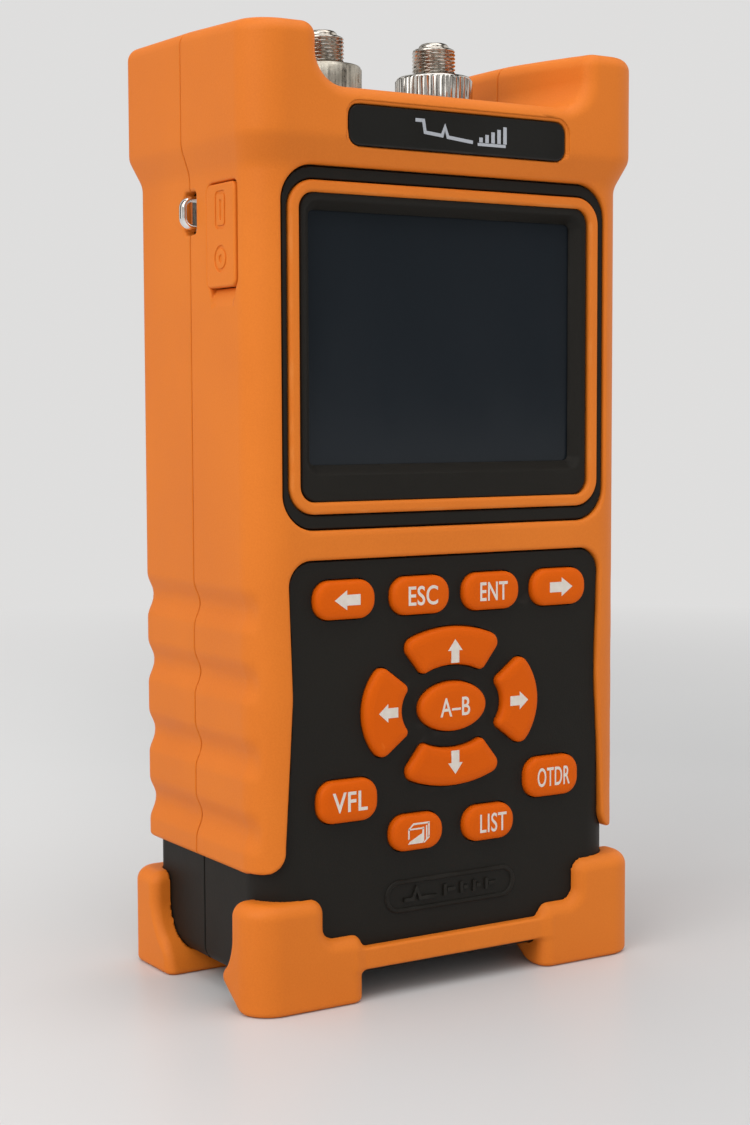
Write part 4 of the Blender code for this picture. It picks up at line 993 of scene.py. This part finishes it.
RING_WIDTH = 2.4
ring_corners = span_panel(RING_LOW, RING_HIGH, RING_CORNER)
front_y, back_y = RING_LOW[1], RING_HIGH[1]
section = [(0.0, back_y)]
section += [(inset, front_y + drop) for inset, drop in round_edge(0.8)]
section += [(RING_WIDTH - inset, front_y + drop) for inset, drop in round_edge(0.8)[::-1]]
section.append((RING_WIDTH, back_y))
rings = [(rounded(inset_corners(ring_corners, inset), 12), y) for inset, y in section]
ring = loft("display_ring_rubber", rings, RUBBER, closed=True)
placed(cleaned(ring), "case", "orange_rubber", "display_ring")

VIEW = panel(32.2, 108.0, 158.3, 1.2)
BEZEL_CORNER = 3.7
bezel_corners = span_panel(BEZEL_LOW, BEZEL_HIGH, BEZEL_CORNER)
front_y, back_y = BEZEL_LOW[1], BEZEL_HIGH[1]
rings = [(rounded(bezel_corners, 10), back_y)]
for inset, drop in round_edge(0.6, 4):
    rings.append((rounded(inset_corners(bezel_corners, inset), 10), front_y + drop))
for grow, y in ((2.3, front_y), (1.9, front_y + 0.15), (1.6, front_y + 0.5), (0.2, back_y - 0.5)):
    rings.append((rounded(inset_corners(VIEW, -grow), 10), y))
rings.append((rounded(VIEW, 10), back_y))
bezel = loft("display_bezel_frame", rings, BLACK, closed=True)
placed(cleaned(bezel), "case", "black_plastic", "display_bezel")

lens = button("display_window", span_panel(LENS_LOW, LENS_HIGH, 1.5), LENS_HIGH[1], LENS_LOW[1], 0.25, GLASS)
placed(lens, "case", "screen_glass", "display_lens")

# ---------------------------------------------------------------- keys and their legends


def legend_text(name, text, wide, tall, weight=0.0):
    """Flat letters of a given size, centred, as a mesh in millimetres facing the user."""
    curve = bpy.data.curves.new(name, "FONT")
    curve.body = text
    curve.size = 10.0
    curve.extrude = 0.5
    curve.offset = weight
    curve.resolution_u = 6
    curve.space_character = 1.05
    holder = bpy.data.objects.new(f"{name}_curve", curve)
    bpy.context.scene.collection.objects.link(holder)
    graph = bpy.context.evaluated_depsgraph_get()
    mesh = bpy.data.meshes.new_from_object(holder.evaluated_get(graph))
    bpy.data.objects.remove(holder)
    points = np.empty(len(mesh.vertices) * 3)
    mesh.vertices.foreach_get("co", points)
    points = points.reshape(-1, 3)
    faces = [tuple(face.vertices) for face in mesh.polygons]
    bpy.data.meshes.remove(mesh)
    low, high = points.min(0), points.max(0)
    flat = (points[:, :2] - (low[:2] + high[:2]) / 2) / (high[:2] - low[:2]) * (wide, tall)
    depth = np.where(points[:, 2] > 0, -1.0, 1.0)
    return np.stack((flat[:, 0], depth, flat[:, 1]), 1), faces


def glyph(outlines):
    """Flat prisms of several simple outlines, centred where they are drawn."""
    points, faces = [], []
    for outline in outlines:
        outline = np.asarray(outline, float)
        start, count = len(points), len(outline)
        points += [(u, -1.0, v) for u, v in outline] + [(u, 1.0, v) for u, v in outline]
        faces.append(tuple(range(start, start + count)))
        faces.append(tuple(range(start + count, start + 2 * count))[::-1])
        for i in range(count):
            j = (i + 1) % count
            faces.append((start + i, start + count + i, start + count + j, start + j))
    return np.array(points), faces


def arrow(wide, tall, turn):
    """A block arrow that points up, turned anticlockwise by so many degrees."""
    shaft, head = wide * 0.27, tall * 0.48
    outline = [(-shaft, -tall / 2), (shaft, -tall / 2), (shaft, tall / 2 - head), (wide / 2, tall / 2 - head)]
    outline += [(0, tall / 2), (-wide / 2, tall / 2 - head), (-shaft, tall / 2 - head)]
    angle = math.radians(turn)
    c, s = math.cos(angle), math.sin(angle)
    return glyph([[(u * c - v * s, u * s + v * c) for u, v in outline]])


def box_sign():
    """A small box drawn with its open side, for stored files."""
    points, faces = glyph([
        [(-2.35, -2.1), (0.75, -2.1), (1.15, -1.7), (1.15, 1.0), (0.85, 1.05), (0.70, -0.2), (-2.0, -1.6)],
        [(-2.35, -1.2), (-2.35, 0.9), (-2.05, 0.9), (-2.05, -1.0)],
        [
            (-2.35, 0.9), (-1.2, 1.95), (2.25, 1.95), (2.25, 1.6), (-1.1, 1.6), (-1.9, 0.95),
            (0.8, 0.95), (1.1, 0.65), (-2.2, 0.65),
        ],
        [(1.55, -1.5), (1.85, -1.2), (1.85, 1.35), (1.55, 1.2)],
        [(2.05, -1.1), (2.35, -0.85), (2.35, 1.95), (2.05, 1.7)],
        [(0.9, -2.1), (1.25, -2.1), (2.35, -1.15), (2.35, -0.7)],
    ])
    return points * (1.12, 1.0, 1.06), faces


LEGENDS = {
    "key_left": arrow(4.0, 6.0, 90),
    "key_right": arrow(4.0, 6.0, -90),
    "key_cross_up": arrow(3.6, 4.9, 0),
    "key_cross_down": arrow(3.6, 4.9, 180),
    "key_cross_left": arrow(3.8, 4.6, 90),
    "key_cross_right": arrow(3.8, 4.6, -90),
    "key_escape": legend_text("escape", "ESC", 7.2, 4.0, 0.12),
    "key_enter": legend_text("enter", "ENT", 7.0, 3.9, 0.12),
    "key_cursor": legend_text("cursor", "A–B", 7.4, 3.9, 0.10),
    "key_vfl": legend_text("vfl", "VFL", 8.2, 4.1, 0.14),
    "key_otdr": legend_text("otdr", "OTDR", 8.6, 4.1, 0.10),
    "key_list": legend_text("list", "LIST", 6.8, 4.0, 0.08),
    "key_file": box_sign(),
}
LEGEND_SHIFT = {
    "key_left": (0.1, 0.0),
    "key_escape": (0.1, 0.0),
    "key_enter": (0.1, 0.0),
    "key_right": (0.1, 0.0),
    "key_list": (0.6, 0.0),
    "key_cross_up": (0.0, -0.3),
    "key_cross_down": (0.0, 0.3),
}
CROWN = 0.12
KEY_ROUND = 1.25
LEGEND_RISE = 0.035
FLANGE_FRONT = CASE_FACE + WALL + GAP

for key, corners in KEY_SHAPES.items():
    low, high = span(key)
    steps = 8 if key != "key_cursor" else 1
    flange = rounded(inset_corners(corners, -KEY_FLANGE), steps)
    body = rounded(corners, steps)
    rings = [(flange, high[1]), (flange, FLANGE_FRONT), (body, FLANGE_FRONT)]
    for inset, drop in round_edge(KEY_ROUND, 6):
        rings.append((rounded(inset_corners(corners, inset), steps), KEY_FRONT + CROWN + drop))
    for share in (0.5, 1.0):
        inner = inset_corners(corners, KEY_ROUND + share * 0.9)
        rings.append((rounded(inner, steps), KEY_FRONT + CROWN * (1 - share) ** 2))
    cap = cleaned(loft(f"{key}_button", rings, KEYS), 50.0)
    placed(cap, f"{key}_cap", "key_rubber", key)
    points, faces = LEGENDS[key]
    points = points.copy()
    centre = ((low[0] + high[0]) / 2, (low[2] + high[2]) / 2)
    shift = LEGEND_SHIFT.get(key, (0.0, 0.0))
    points[:, 0] += centre[0] + shift[0]
    points[:, 2] += centre[1] + shift[1]
    points[:, 1] = np.where(points[:, 1] < 0, KEY_FRONT - LEGEND_RISE, KEY_FRONT + 0.2)
    mark = new_object(f"{key}_legend", points, faces, INK)
    mark.data.shade_flat()
    placed(mark, f"{key}_cap", "pale_plastic")

# ---------------------------------------------------------------- name plate and badge

plate_corners = span_panel(PLATE_LOW, PLATE_HIGH, 2.4)
plate = button("plate_body", plate_corners, PLATE_HIGH[1], PLATE_LOW[1], 0.45, GLOSS_BLACK, steps=10)
placed(plate, "case", "black_plastic", "name_plate")


def ribbon(line, width):
    """The outline of a polyline drawn with a width and mitred at its bends."""
    line = np.asarray(line, float)
    along = np.diff(line, axis=0)
    along /= np.linalg.norm(along, axis=1)[:, None]
    across = np.stack((-along[:, 1], along[:, 0]), 1)
    middle = np.concatenate((across[:1], across[:-1] + across[1:], across[-1:]))
    middle /= np.linalg.norm(middle, axis=1)[:, None]
    ahead = np.concatenate((across[:1], across))
    reach = width / 2 / np.maximum((middle * ahead).sum(1), 0.5)
    offset = middle * reach[:, None]
    return [np.concatenate((line - offset, (line + offset)[::-1]))]


def relief(name, outlines, back, front, look):
    """Flat marks that stand from back to front along Y."""
    points, faces = glyph(outlines)
    points[:, 1] = np.where(points[:, 1] < 0, front, back)
    obj = new_object(name, points, faces, look)
    obj.data.shade_flat()
    return obj


TRACE = [
    (-11.5, 1.9), (-9.6, 1.9), (-9.2, -0.4), (-5.1, -0.8), (-4.4, 1.0), (-3.7, -1.0), (1.2, -1.5),
    (2.4, -1.6),
]
TRACE_SHIFT = 0.9
BAR_WIDTH, BAR_PITCH = 0.85, 1.5
plate_middle = (PLATE_LOW[2] + PLATE_HIGH[2]) / 2
bar_foot = plate_middle - 1.5
marks = ribbon([(u, v + plate_middle) for u, v in TRACE], 0.7)
marks += ribbon([(3.6, plate_middle - 1.9), (10.6, plate_middle - 1.9)], 0.6)
for i in range(5):
    left, bar_top = 4.0 + BAR_PITCH * i, bar_foot + (1.0 + 0.62 * i)
    right = left + BAR_WIDTH
    marks.append([(left, bar_foot), (right, bar_foot), (right, bar_top), (left, bar_top)])
mark = relief("plate_mark", marks, PLATE_LOW[1] + 0.2, PLATE_LOW[1] - 0.06, SILVER)
mark.location.x = TRACE_SHIFT * MM
placed(mark, "case", "nickel_plate")

BADGE_HALF, BADGE_LOW, BADGE_HIGH = 16.4, 15.3, 22.3
BADGE_STROKE = 0.75
badge_corners = panel(BADGE_HALF, BADGE_LOW, BADGE_HIGH, (BADGE_HIGH - BADGE_LOW) / 2 - 0.05)
section = [(0.0, -0.2), (0.14, 0.30), (0.36, 0.45), (0.72, 0.45), (0.94, 0.30), (1.08, -0.2)]
rings = [(rounded(inset_corners(badge_corners, inset), 14), CASE_FACE - rise) for inset, rise in section]
placed(cleaned(loft("badge_rim", rings, BLACK, closed=True), 60.0), "case", "black_plastic")
middle = (BADGE_LOW + BADGE_HIGH) / 2
wave = [(-11.8, -0.9), (-9.6, -0.9), (-8.7, 1.2), (-7.8, -0.9), (-3.6, -0.9)]
marks = ribbon([(u, middle + v) for u, v in wave], BADGE_STROKE)
for start, reach in ((-1.6, 2.6), (2.6, 1.6), (5.8, 1.6), (9.0, 2.6)):
    marks += ribbon([(start, middle - 1.2), (start, middle + 1.2)], BADGE_STROKE)
    marks += ribbon([(start + 0.55, middle), (start + reach, middle)], BADGE_STROKE)
placed(relief("badge_relief", marks, CASE_FACE + 0.2, CASE_FACE - 0.42, BLACK), "case", "black_plastic")

# ---------------------------------------------------------------- flap


def flap_field(x, y, z):
    """The flap's plate, with a socket sign and a jack sign sunk into its face."""
    across = y - (FLAP_LOW[1] + FLAP_HIGH[1]) / 2
    rise = z - (FLAP_LOW[2] + FLAP_HIGH[2]) / 2
    plate = flat_box(across, rise, (FLAP_HIGH[1] - FLAP_LOW[1]) / 2, (FLAP_HIGH[2] - FLAP_LOW[2]) / 2, 1.5)
    solid = round_and(plate, FLAP_LOW[0] - x, 0.5)
    solid = np.maximum(solid, x - FLAP_HIGH[0])
    socket = np.abs(flat_box(across, rise - 5.0, 1.9, 3.4, 0.9)) - 0.32
    tongue = flat_box(across + 0.1, rise - 5.0, 0.35, 2.0, 0.3)
    jack = np.abs(np.hypot(across, rise + 4.6) - 2.3) - 0.32
    pin = np.hypot(across, rise + 4.6) - 0.75
    signs = np.minimum(np.minimum(socket, tongue), np.minimum(jack, pin))
    return without(solid, np.maximum(signs, x - FLAP_LOW[0] - 0.28), 0.16)


FLAP_SKIN = FLAP_LOW[0] + 0.7
FLAP_X = grid_lines((FLAP_LOW[0] - 0.2, FLAP_SKIN, 0.12), (FLAP_SKIN, FLAP_HIGH[0] + 0.2, 0.4))
FLAP_Y = grid_lines((FLAP_LOW[1] - 0.3, FLAP_HIGH[1] + 0.3, 0.2))
FLAP_Z = grid_lines((FLAP_LOW[2] - 0.3, FLAP_HIGH[2] + 0.3, 0.2))
flap = skinned("port_flap_rubber", flap_field, FLAP_X, FLAP_Y, FLAP_Z, RUBBER)
placed(flap, "flap", "orange_rubber", "port_flap")

# ---------------------------------------------------------------- fibre ports


def turned(name, profile, look, centre, steps, wobble):
    """A turned solid about Z from a closed (radius, height) profile, with a change of its radius."""
    turns = np.linspace(0, 2 * math.pi, steps, endpoint=False)
    rings = []
    for radius, height in profile:
        reach = radius + wobble(turns, height, radius)
        spots = np.stack((centre[0] + reach * np.cos(turns), centre[1] + reach * np.sin(turns)), 1)
        rings.append((spots, height))
    return loft(name, rings, look, "Z", closed=True)


def corner_round(radius, height, size, start, steps=4):
    """Points of a quarter round from an angle in degrees, centred on a radius and height."""
    turns = [math.radians(start - 90 * i / steps) for i in range(steps + 1)]
    return [(radius + size * math.cos(t), height + size * math.sin(t)) for t in turns]


PORT_TOP = span("otdr_port_adapter")[1][2]
KNURLS = 46
NUT_DROP = 0.4
NUT_BORE = 5.5
NUT_SHELF, NUT_SHELF_BORE = 185.3, 6.7
BARREL = 4.62
THREAD_PITCH = 0.78
THREAD_LOW, THREAD_HIGH = 187.6, PORT_TOP - 1.55
COLLAR_LOW, COLLAR_HIGH, COLLAR = 185.7, 187.4, 6.3
ADAPTER_BORE = 1.9
NOSE = 3.35
NOSE_ROUND = 1.1


def knurled(radius, low, high, depth):
    """The radius change of a nut's rim: uneven knurls of a given depth between two heights."""

    def wobble(turns, height, reach):
        if reach < radius - 0.2 or not low - 0.1 < height < high + 0.1:
            return 0.0
        uneven = turns + 0.02 * np.sin(7 * turns) + 0.012 * np.sin(17 * turns)
        wave = np.abs(((uneven * KNURLS / (2 * math.pi)) % 1.0) - 0.5) * 2
        return -depth * (0.8 + 0.3 * np.sin(5 * turns + 1.0)) * ease(wave * 1.5 - 0.15) + 0.02

    return wobble


def thread(turns, height, reach):
    """The radius change of the adapter's barrel: a thread that fades out at both ends."""
    if not THREAD_LOW < height < THREAD_HIGH or reach < BARREL - 0.22:
        return 0.0
    phase = ((height - THREAD_PITCH * turns / (2 * math.pi)) / THREAD_PITCH) % 1.0
    fade = min(1.0, (THREAD_HIGH - height) / 0.5, (height - THREAD_LOW) / 0.5)
    return (0.13 - 0.42 * np.abs(phase - 0.5) * 2) * fade


def nut_profile(radius, bottom, top, low, high):
    """A nut with rounded edges, knurled between low and high, and bored out above its shelf."""
    profile = [(radius - 0.7, bottom)]
    profile += corner_round(radius - 0.7, bottom + 0.5, 0.5, 0)[::-1]
    profile += [(radius, low), (radius, (low + high) / 2), (radius, high)]
    profile += corner_round(radius - 0.75, top - 0.55, 0.55, 90)[::-1]
    profile += [(5.25, top), (5.05, top - 0.2), (5.05, top - 3.2), (NUT_SHELF_BORE, top - 3.2)]
    return profile + [(NUT_SHELF_BORE, NUT_SHELF), (NUT_BORE, NUT_SHELF), (NUT_BORE, bottom)]


def adapter_profile():
    """An adapter with a rounded nose, a threaded barrel and a collar, bored through."""
    profile = corner_round(NOSE - NOSE_ROUND, PORT_TOP - NOSE_ROUND, NOSE_ROUND, 90, 7)
    profile += [(3.5, PORT_TOP - 1.22), (4.15, PORT_TOP - 1.26), (4.5, PORT_TOP - 1.45)]
    profile += [(BARREL, height) for height in np.arange(THREAD_HIGH - 0.05, THREAD_LOW, -0.085)]
    profile += [(4.75, COLLAR_HIGH + 0.05), (COLLAR, COLLAR_HIGH), (COLLAR, COLLAR_LOW)]
    return profile + [(ADAPTER_BORE, COLLAR_LOW), (ADAPTER_BORE, PORT_TOP - 0.2), (2.05, PORT_TOP)]


for port, knurl_depth, nut_look in (("otdr", 0.05, WORN_NICKEL), ("vfl", 0.34, NICKEL)):
    low, high = span(f"{port}_port_nut")
    centre = (low + high) / 2
    radius = (high[0] - low[0]) / 2
    top = high[2] - NUT_DROP
    rim = (low[2] + 0.9, top - 0.75)
    profile, knurl = nut_profile(radius, low[2], top, *rim), knurled(radius, *rim, knurl_depth)
    nut = turned(f"{port}_port_knurled_nut", profile, nut_look, centre, KNURLS * 8, knurl)
    placed(cleaned(nut, 50.0, False), f"{port}_nut", "nickel_plate", f"{port}_port_nut")
    adapter = turned(f"{port}_port_threaded_adapter", adapter_profile(), THREAD_NICKEL, centre, 120, thread)
    placed(cleaned(adapter, 60.0, False), f"{port}_adapter", "nickel_plate", f"{port}_port_adapter")

# ---------------------------------------------------------------- strap lug

LUG_THIN, LUG_WIDE = 0.62, 1.15
LUG_BEND = 1.9
LUG_SIDES = 20
lug_out, lug_in = LUG_LOW[0] + 0.75, LUG_HIGH[0] - 0.7
lug_top, lug_bottom = LUG_HIGH[2] - 0.85, LUG_LOW[2] + 0.85
path = [(lug_in, lug_bottom, 0), (lug_out, lug_bottom, LUG_BEND)]
path = rounded(path + [(lug_out, lug_top, LUG_BEND), (lug_in, lug_top, 0)], 10)
points, faces = [], []
for i, spot in enumerate(path):
    ahead = path[min(i + 1, len(path) - 1)] - path[max(i - 1, 0)]
    ahead /= np.linalg.norm(ahead)
    across = np.array((-ahead[1], ahead[0]))
    for step in range(LUG_SIDES):
        turn = 2 * math.pi * step / LUG_SIDES
        out, wide = LUG_THIN * math.cos(turn), LUG_WIDE * math.sin(turn)
        points.append((spot[0] + across[0] * out, SEAM_PLANE + wide, spot[1] + across[1] * out))
for i in range(len(path) - 1):
    start = i * LUG_SIDES
    for step in range(LUG_SIDES):
        after = (step + 1) % LUG_SIDES
        faces.append((start + step, start + after, start + LUG_SIDES + after, start + LUG_SIDES + step))
faces.append(tuple(range(LUG_SIDES)))
faces.append(tuple(range((len(path) - 1) * LUG_SIDES, len(path) * LUG_SIDES))[::-1])
loop = outwards(new_object("strap_lug_loop", points, faces, CHROME))
placed(cleaned(loop, 60.0, False), "case", "nickel_plate", "strap_lug")
corners = panel(2.3, LUG_LOW[2] + 0.1, LUG_HIGH[2] - 0.1, 0.9, SEAM_PLANE)
lug_plate = button("strap_lug_plate", corners, LUG_HIGH[0], LUG_HIGH[0] - 1.2, 0.4, CHROME, axis="X")
placed(lug_plate, "case", "nickel_plate")

# ---------------------------------------------------------------- rear door and label

DOOR_FACE = DOOR_HIGH[1]
FAR_BACK = 40.0
GRIP_ROWS, GRIP_PITCH, GRIP_HALF = 5, 2.6, 11.0
SEAT, HEAD = 2.6, 2.2
SLOT_LONG, SLOT_NARROW = 1.25, 0.24


def screw_centre(number):
    low, high = span(f"door_screw_{number}")
    return np.array(((low[0] + high[0]) / 2, (low[2] + high[2]) / 2))


def disc(centre, radius):
    """A circle's points, anticlockwise from +X."""
    return arc(centre, (radius, radius), 0, 360, 40)[:-1]


door = button("battery_cover", span_panel(DOOR_LOW, DOOR_HIGH, 3.0), DOOR_LOW[1], DOOR_FACE, 0.6, BLACK)
cutters = []
for number in (1, 2):
    cutters.append(slab(f"seat_{number}", disc(screw_centre(number), SEAT), DOOR_FACE - 1.1, FAR_BACK))
for row in range(GRIP_ROWS):
    z = DOOR_HIGH[2] - 7.0 - GRIP_PITCH * row
    grip = rounded(panel(GRIP_HALF, z - 0.6, z + 0.6, 0.55), 6)
    cutters.append(slab(f"grip_{row}", grip, DOOR_FACE - 0.6, FAR_BACK))
carve(door, cutters)
placed(cleaned(door), "case", "black_plastic", "battery_door")
for number in (1, 2):
    centre = screw_centre(number)
    head = disc(centre, HEAD)
    rings = [(head, DOOR_FACE - 1.2), (head, DOOR_FACE - 0.55)]
    for shrink, out in ((0.93, 0.38), (0.80, 0.26), (0.55, 0.2)):
        rings.append((centre + (head - centre) * shrink, DOOR_FACE - out))
    screw = loft(f"door_screw_{number}_head", rings, STEEL)
    slots = []
    for wide, tall in ((SLOT_LONG, SLOT_NARROW), (SLOT_NARROW, SLOT_LONG)):
        x, z = centre
        slots.append(block("slot", (x - wide, DOOR_FACE - 0.75, z - tall), (x + wide, FAR_BACK, z + tall)))
    carve(screw, slots)
    placed(cleaned(screw), "case", "bare_steel", f"door_screw_{number}")

LABEL_FACE = LABEL_HIGH[1]
LABEL_ROWS = 4
FRAME_INSET = 1.6
corners = span_panel(LABEL_LOW, LABEL_HIGH, 2.0)
label = button("rating_label_film", corners, LABEL_LOW[1], LABEL_FACE, 0.08, LABEL)
placed(label, "case", "pale_plastic", "rating_label")
left, right = LABEL_LOW[0] + FRAME_INSET, LABEL_HIGH[0] - FRAME_INSET
bottom, top = LABEL_LOW[2] + FRAME_INSET, LABEL_HIGH[2] - FRAME_INSET
frame_corners = [(left, bottom), (right, bottom), (right, top), (left, top), (left, bottom)]
marks = []
for start, end in zip(frame_corners, frame_corners[1:]):
    marks += ribbon([start, end], 0.3)
for row in range(1, LABEL_ROWS):
    height = LABEL_LOW[2] + (LABEL_HIGH[2] - LABEL_LOW[2]) * row / LABEL_ROWS
    marks += ribbon([(LABEL_LOW[0] + 3.0, height), (LABEL_HIGH[0] - 3.0, height)], 0.22)
lines = relief("label_lines", marks, LABEL_FACE - 0.05, LABEL_FACE + 0.03, GLOSS_BLACK)
placed(lines, "case", "black_plastic")

# ---------------------------------------------------------------- pieces carried over from CAD

subparts = {row["node"]: row["material_slot"] for row in frame["record"]["subparts"]}
for node, obj in frame["nodes"].items():
    if not obj.hide_render:
        obj.data.materials.clear()
        obj.data.materials.append(SLOT_LOOKS[subparts[node]])

# ---------------------------------------------------------------- stage, lights and camera

BACKDROP = (0.735, 0.73, 0.725)
STAGE_HALF = 6.0


def stage_floor():
    """A pale floor near the object that fades, far away, to the backdrop's tone."""
    mesh = bpy.data.meshes.new("floor")
    corners = [(u * STAGE_HALF, v * STAGE_HALF, 0) for u, v in ((-1, -1), (1, -1), (1, 1), (-1, 1))]
    mesh.from_pydata(corners, [], [(0, 1, 2, 3)])
    floor = bpy.data.objects.new("floor", mesh)
    bpy.context.scene.collection.objects.link(floor)
    work = Nodes("floor_paper")
    tone = work.mix(work.noise(6.0, 2.0), (0.640, 0.646, 0.652), (0.670, 0.676, 0.682))
    work.finish(tone, 0.38, specular=0.3)
    length = work.add("ShaderNodeVectorMath", operation="LENGTH")
    work.link(work.place, length.inputs[0])
    share = work.range(length.outputs["Value"], 0.28, 0.80, 0.0, 1.0)
    glow = work.add("ShaderNodeEmission")
    glow.inputs["Color"].default_value = (*BACKDROP, 1.0)
    mixed = work.add("ShaderNodeMixShader")
    work.link(share, mixed.inputs[0])
    work.link(work.shader.outputs["BSDF"], mixed.inputs[1])
    work.link(glow.outputs["Emission"], mixed.inputs[2])
    work.link(mixed.outputs[0], work.tree.nodes["Material Output"].inputs["Surface"])
    mesh.materials.append(work.made)
    floor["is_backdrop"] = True


def studio_world():
    """An even pale surround, with a darker front side that only polished metal shows."""
    world = bpy.data.worlds.new("studio")
    bpy.context.scene.world = world
    world.use_nodes = True
    tree = world.node_tree
    plain = tree.nodes["Background"]
    plain.inputs["Color"].default_value = (*BACKDROP, 1.0)
    plain.inputs["Strength"].default_value = 1.0
    place = tree.nodes.new("ShaderNodeTexCoord")
    split = tree.nodes.new("ShaderNodeSeparateXYZ")
    tree.links.new(place.outputs["Generated"], split.inputs[0])
    wave = tree.nodes.new("ShaderNodeTexWave")
    wave.inputs["Scale"].default_value = 0.55
    wave.inputs["Distortion"].default_value = 1.2
    wave.inputs["Detail"].default_value = 1.0
    tree.links.new(place.outputs["Generated"], wave.inputs["Vector"])
    ramp = tree.nodes.new("ShaderNodeValToRGB")
    ramp.color_ramp.elements[0].position = 0.30
    ramp.color_ramp.elements[0].color = (0.04, 0.035, 0.03, 1.0)
    ramp.color_ramp.elements[1].position = 0.80
    ramp.color_ramp.elements[1].color = (0.90, 0.88, 0.85, 1.0)
    tree.links.new(wave.outputs["Fac"], ramp.inputs[0])
    banded = tree.nodes.new("ShaderNodeBackground")
    tree.links.new(ramp.outputs["Color"], banded.inputs["Color"])
    path = tree.nodes.new("ShaderNodeLightPath")
    mixed = tree.nodes.new("ShaderNodeMixShader")
    tree.links.new(path.outputs["Is Glossy Ray"], mixed.inputs[0])
    tree.links.new(plain.outputs[0], mixed.inputs[1])
    tree.links.new(banded.outputs[0], mixed.inputs[2])
    tree.links.new(mixed.outputs[0], tree.nodes["World Output"].inputs["Surface"])


def area_light(name, spot, target, size, power, colour=(1.0, 1.0, 1.0)):
    """A soft rectangular light that faces its target, in metres and watts."""
    light = bpy.data.lights.new(name, "AREA")
    light.shape = "RECTANGLE"
    light.size, light.size_y = size
    light.energy = power
    light.color = colour
    obj = bpy.data.objects.new(name, light)
    bpy.context.scene.collection.objects.link(obj)
    obj.location = spot
    obj.rotation_euler = (Vector(target) - Vector(spot)).to_track_quat("-Z", "Y").to_euler()


stage_floor()
studio_world()
centre = ((cad_low + cad_high) / 2)[:]
area_light("key_light", (-1.15, -0.35, 1.0), centre, (1.1, 1.1), 8.6, (1.0, 0.985, 0.96))
area_light("top_light", (0.1, -0.3, 1.5), centre, (1.3, 1.3), 7.6)

LENS = 62.72
EYE = (-0.2277, -0.3604, 0.1198)
YAW, PITCH, ROLL = 0.5584, 0.0768, -0.0035
camera = bpy.data.cameras.new("camera")
camera.lens = LENS
camera.sensor_width = 36.0
camera.clip_start = 0.01
camera_object = bpy.data.objects.new("camera", camera)
bpy.context.scene.collection.objects.link(camera_object)
forward = Vector((math.sin(YAW) * math.cos(PITCH), math.cos(YAW) * math.cos(PITCH), -math.sin(PITCH)))
right = Vector((math.cos(YAW), -math.sin(YAW), 0.0))
up = right.cross(forward)
turn = Matrix.Rotation(-ROLL, 3, forward)
right, up = turn @ right, turn @ up
axes = Matrix((right, up, -forward)).transposed().to_4x4()
camera_object.matrix_world = Matrix.Translation(EYE) @ axes
bpy.context.scene.camera = camera_object
bpy.context.scene.view_settings.view_transform = "Standard"
bpy.context.scene.view_settings.look = "None"

low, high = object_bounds()
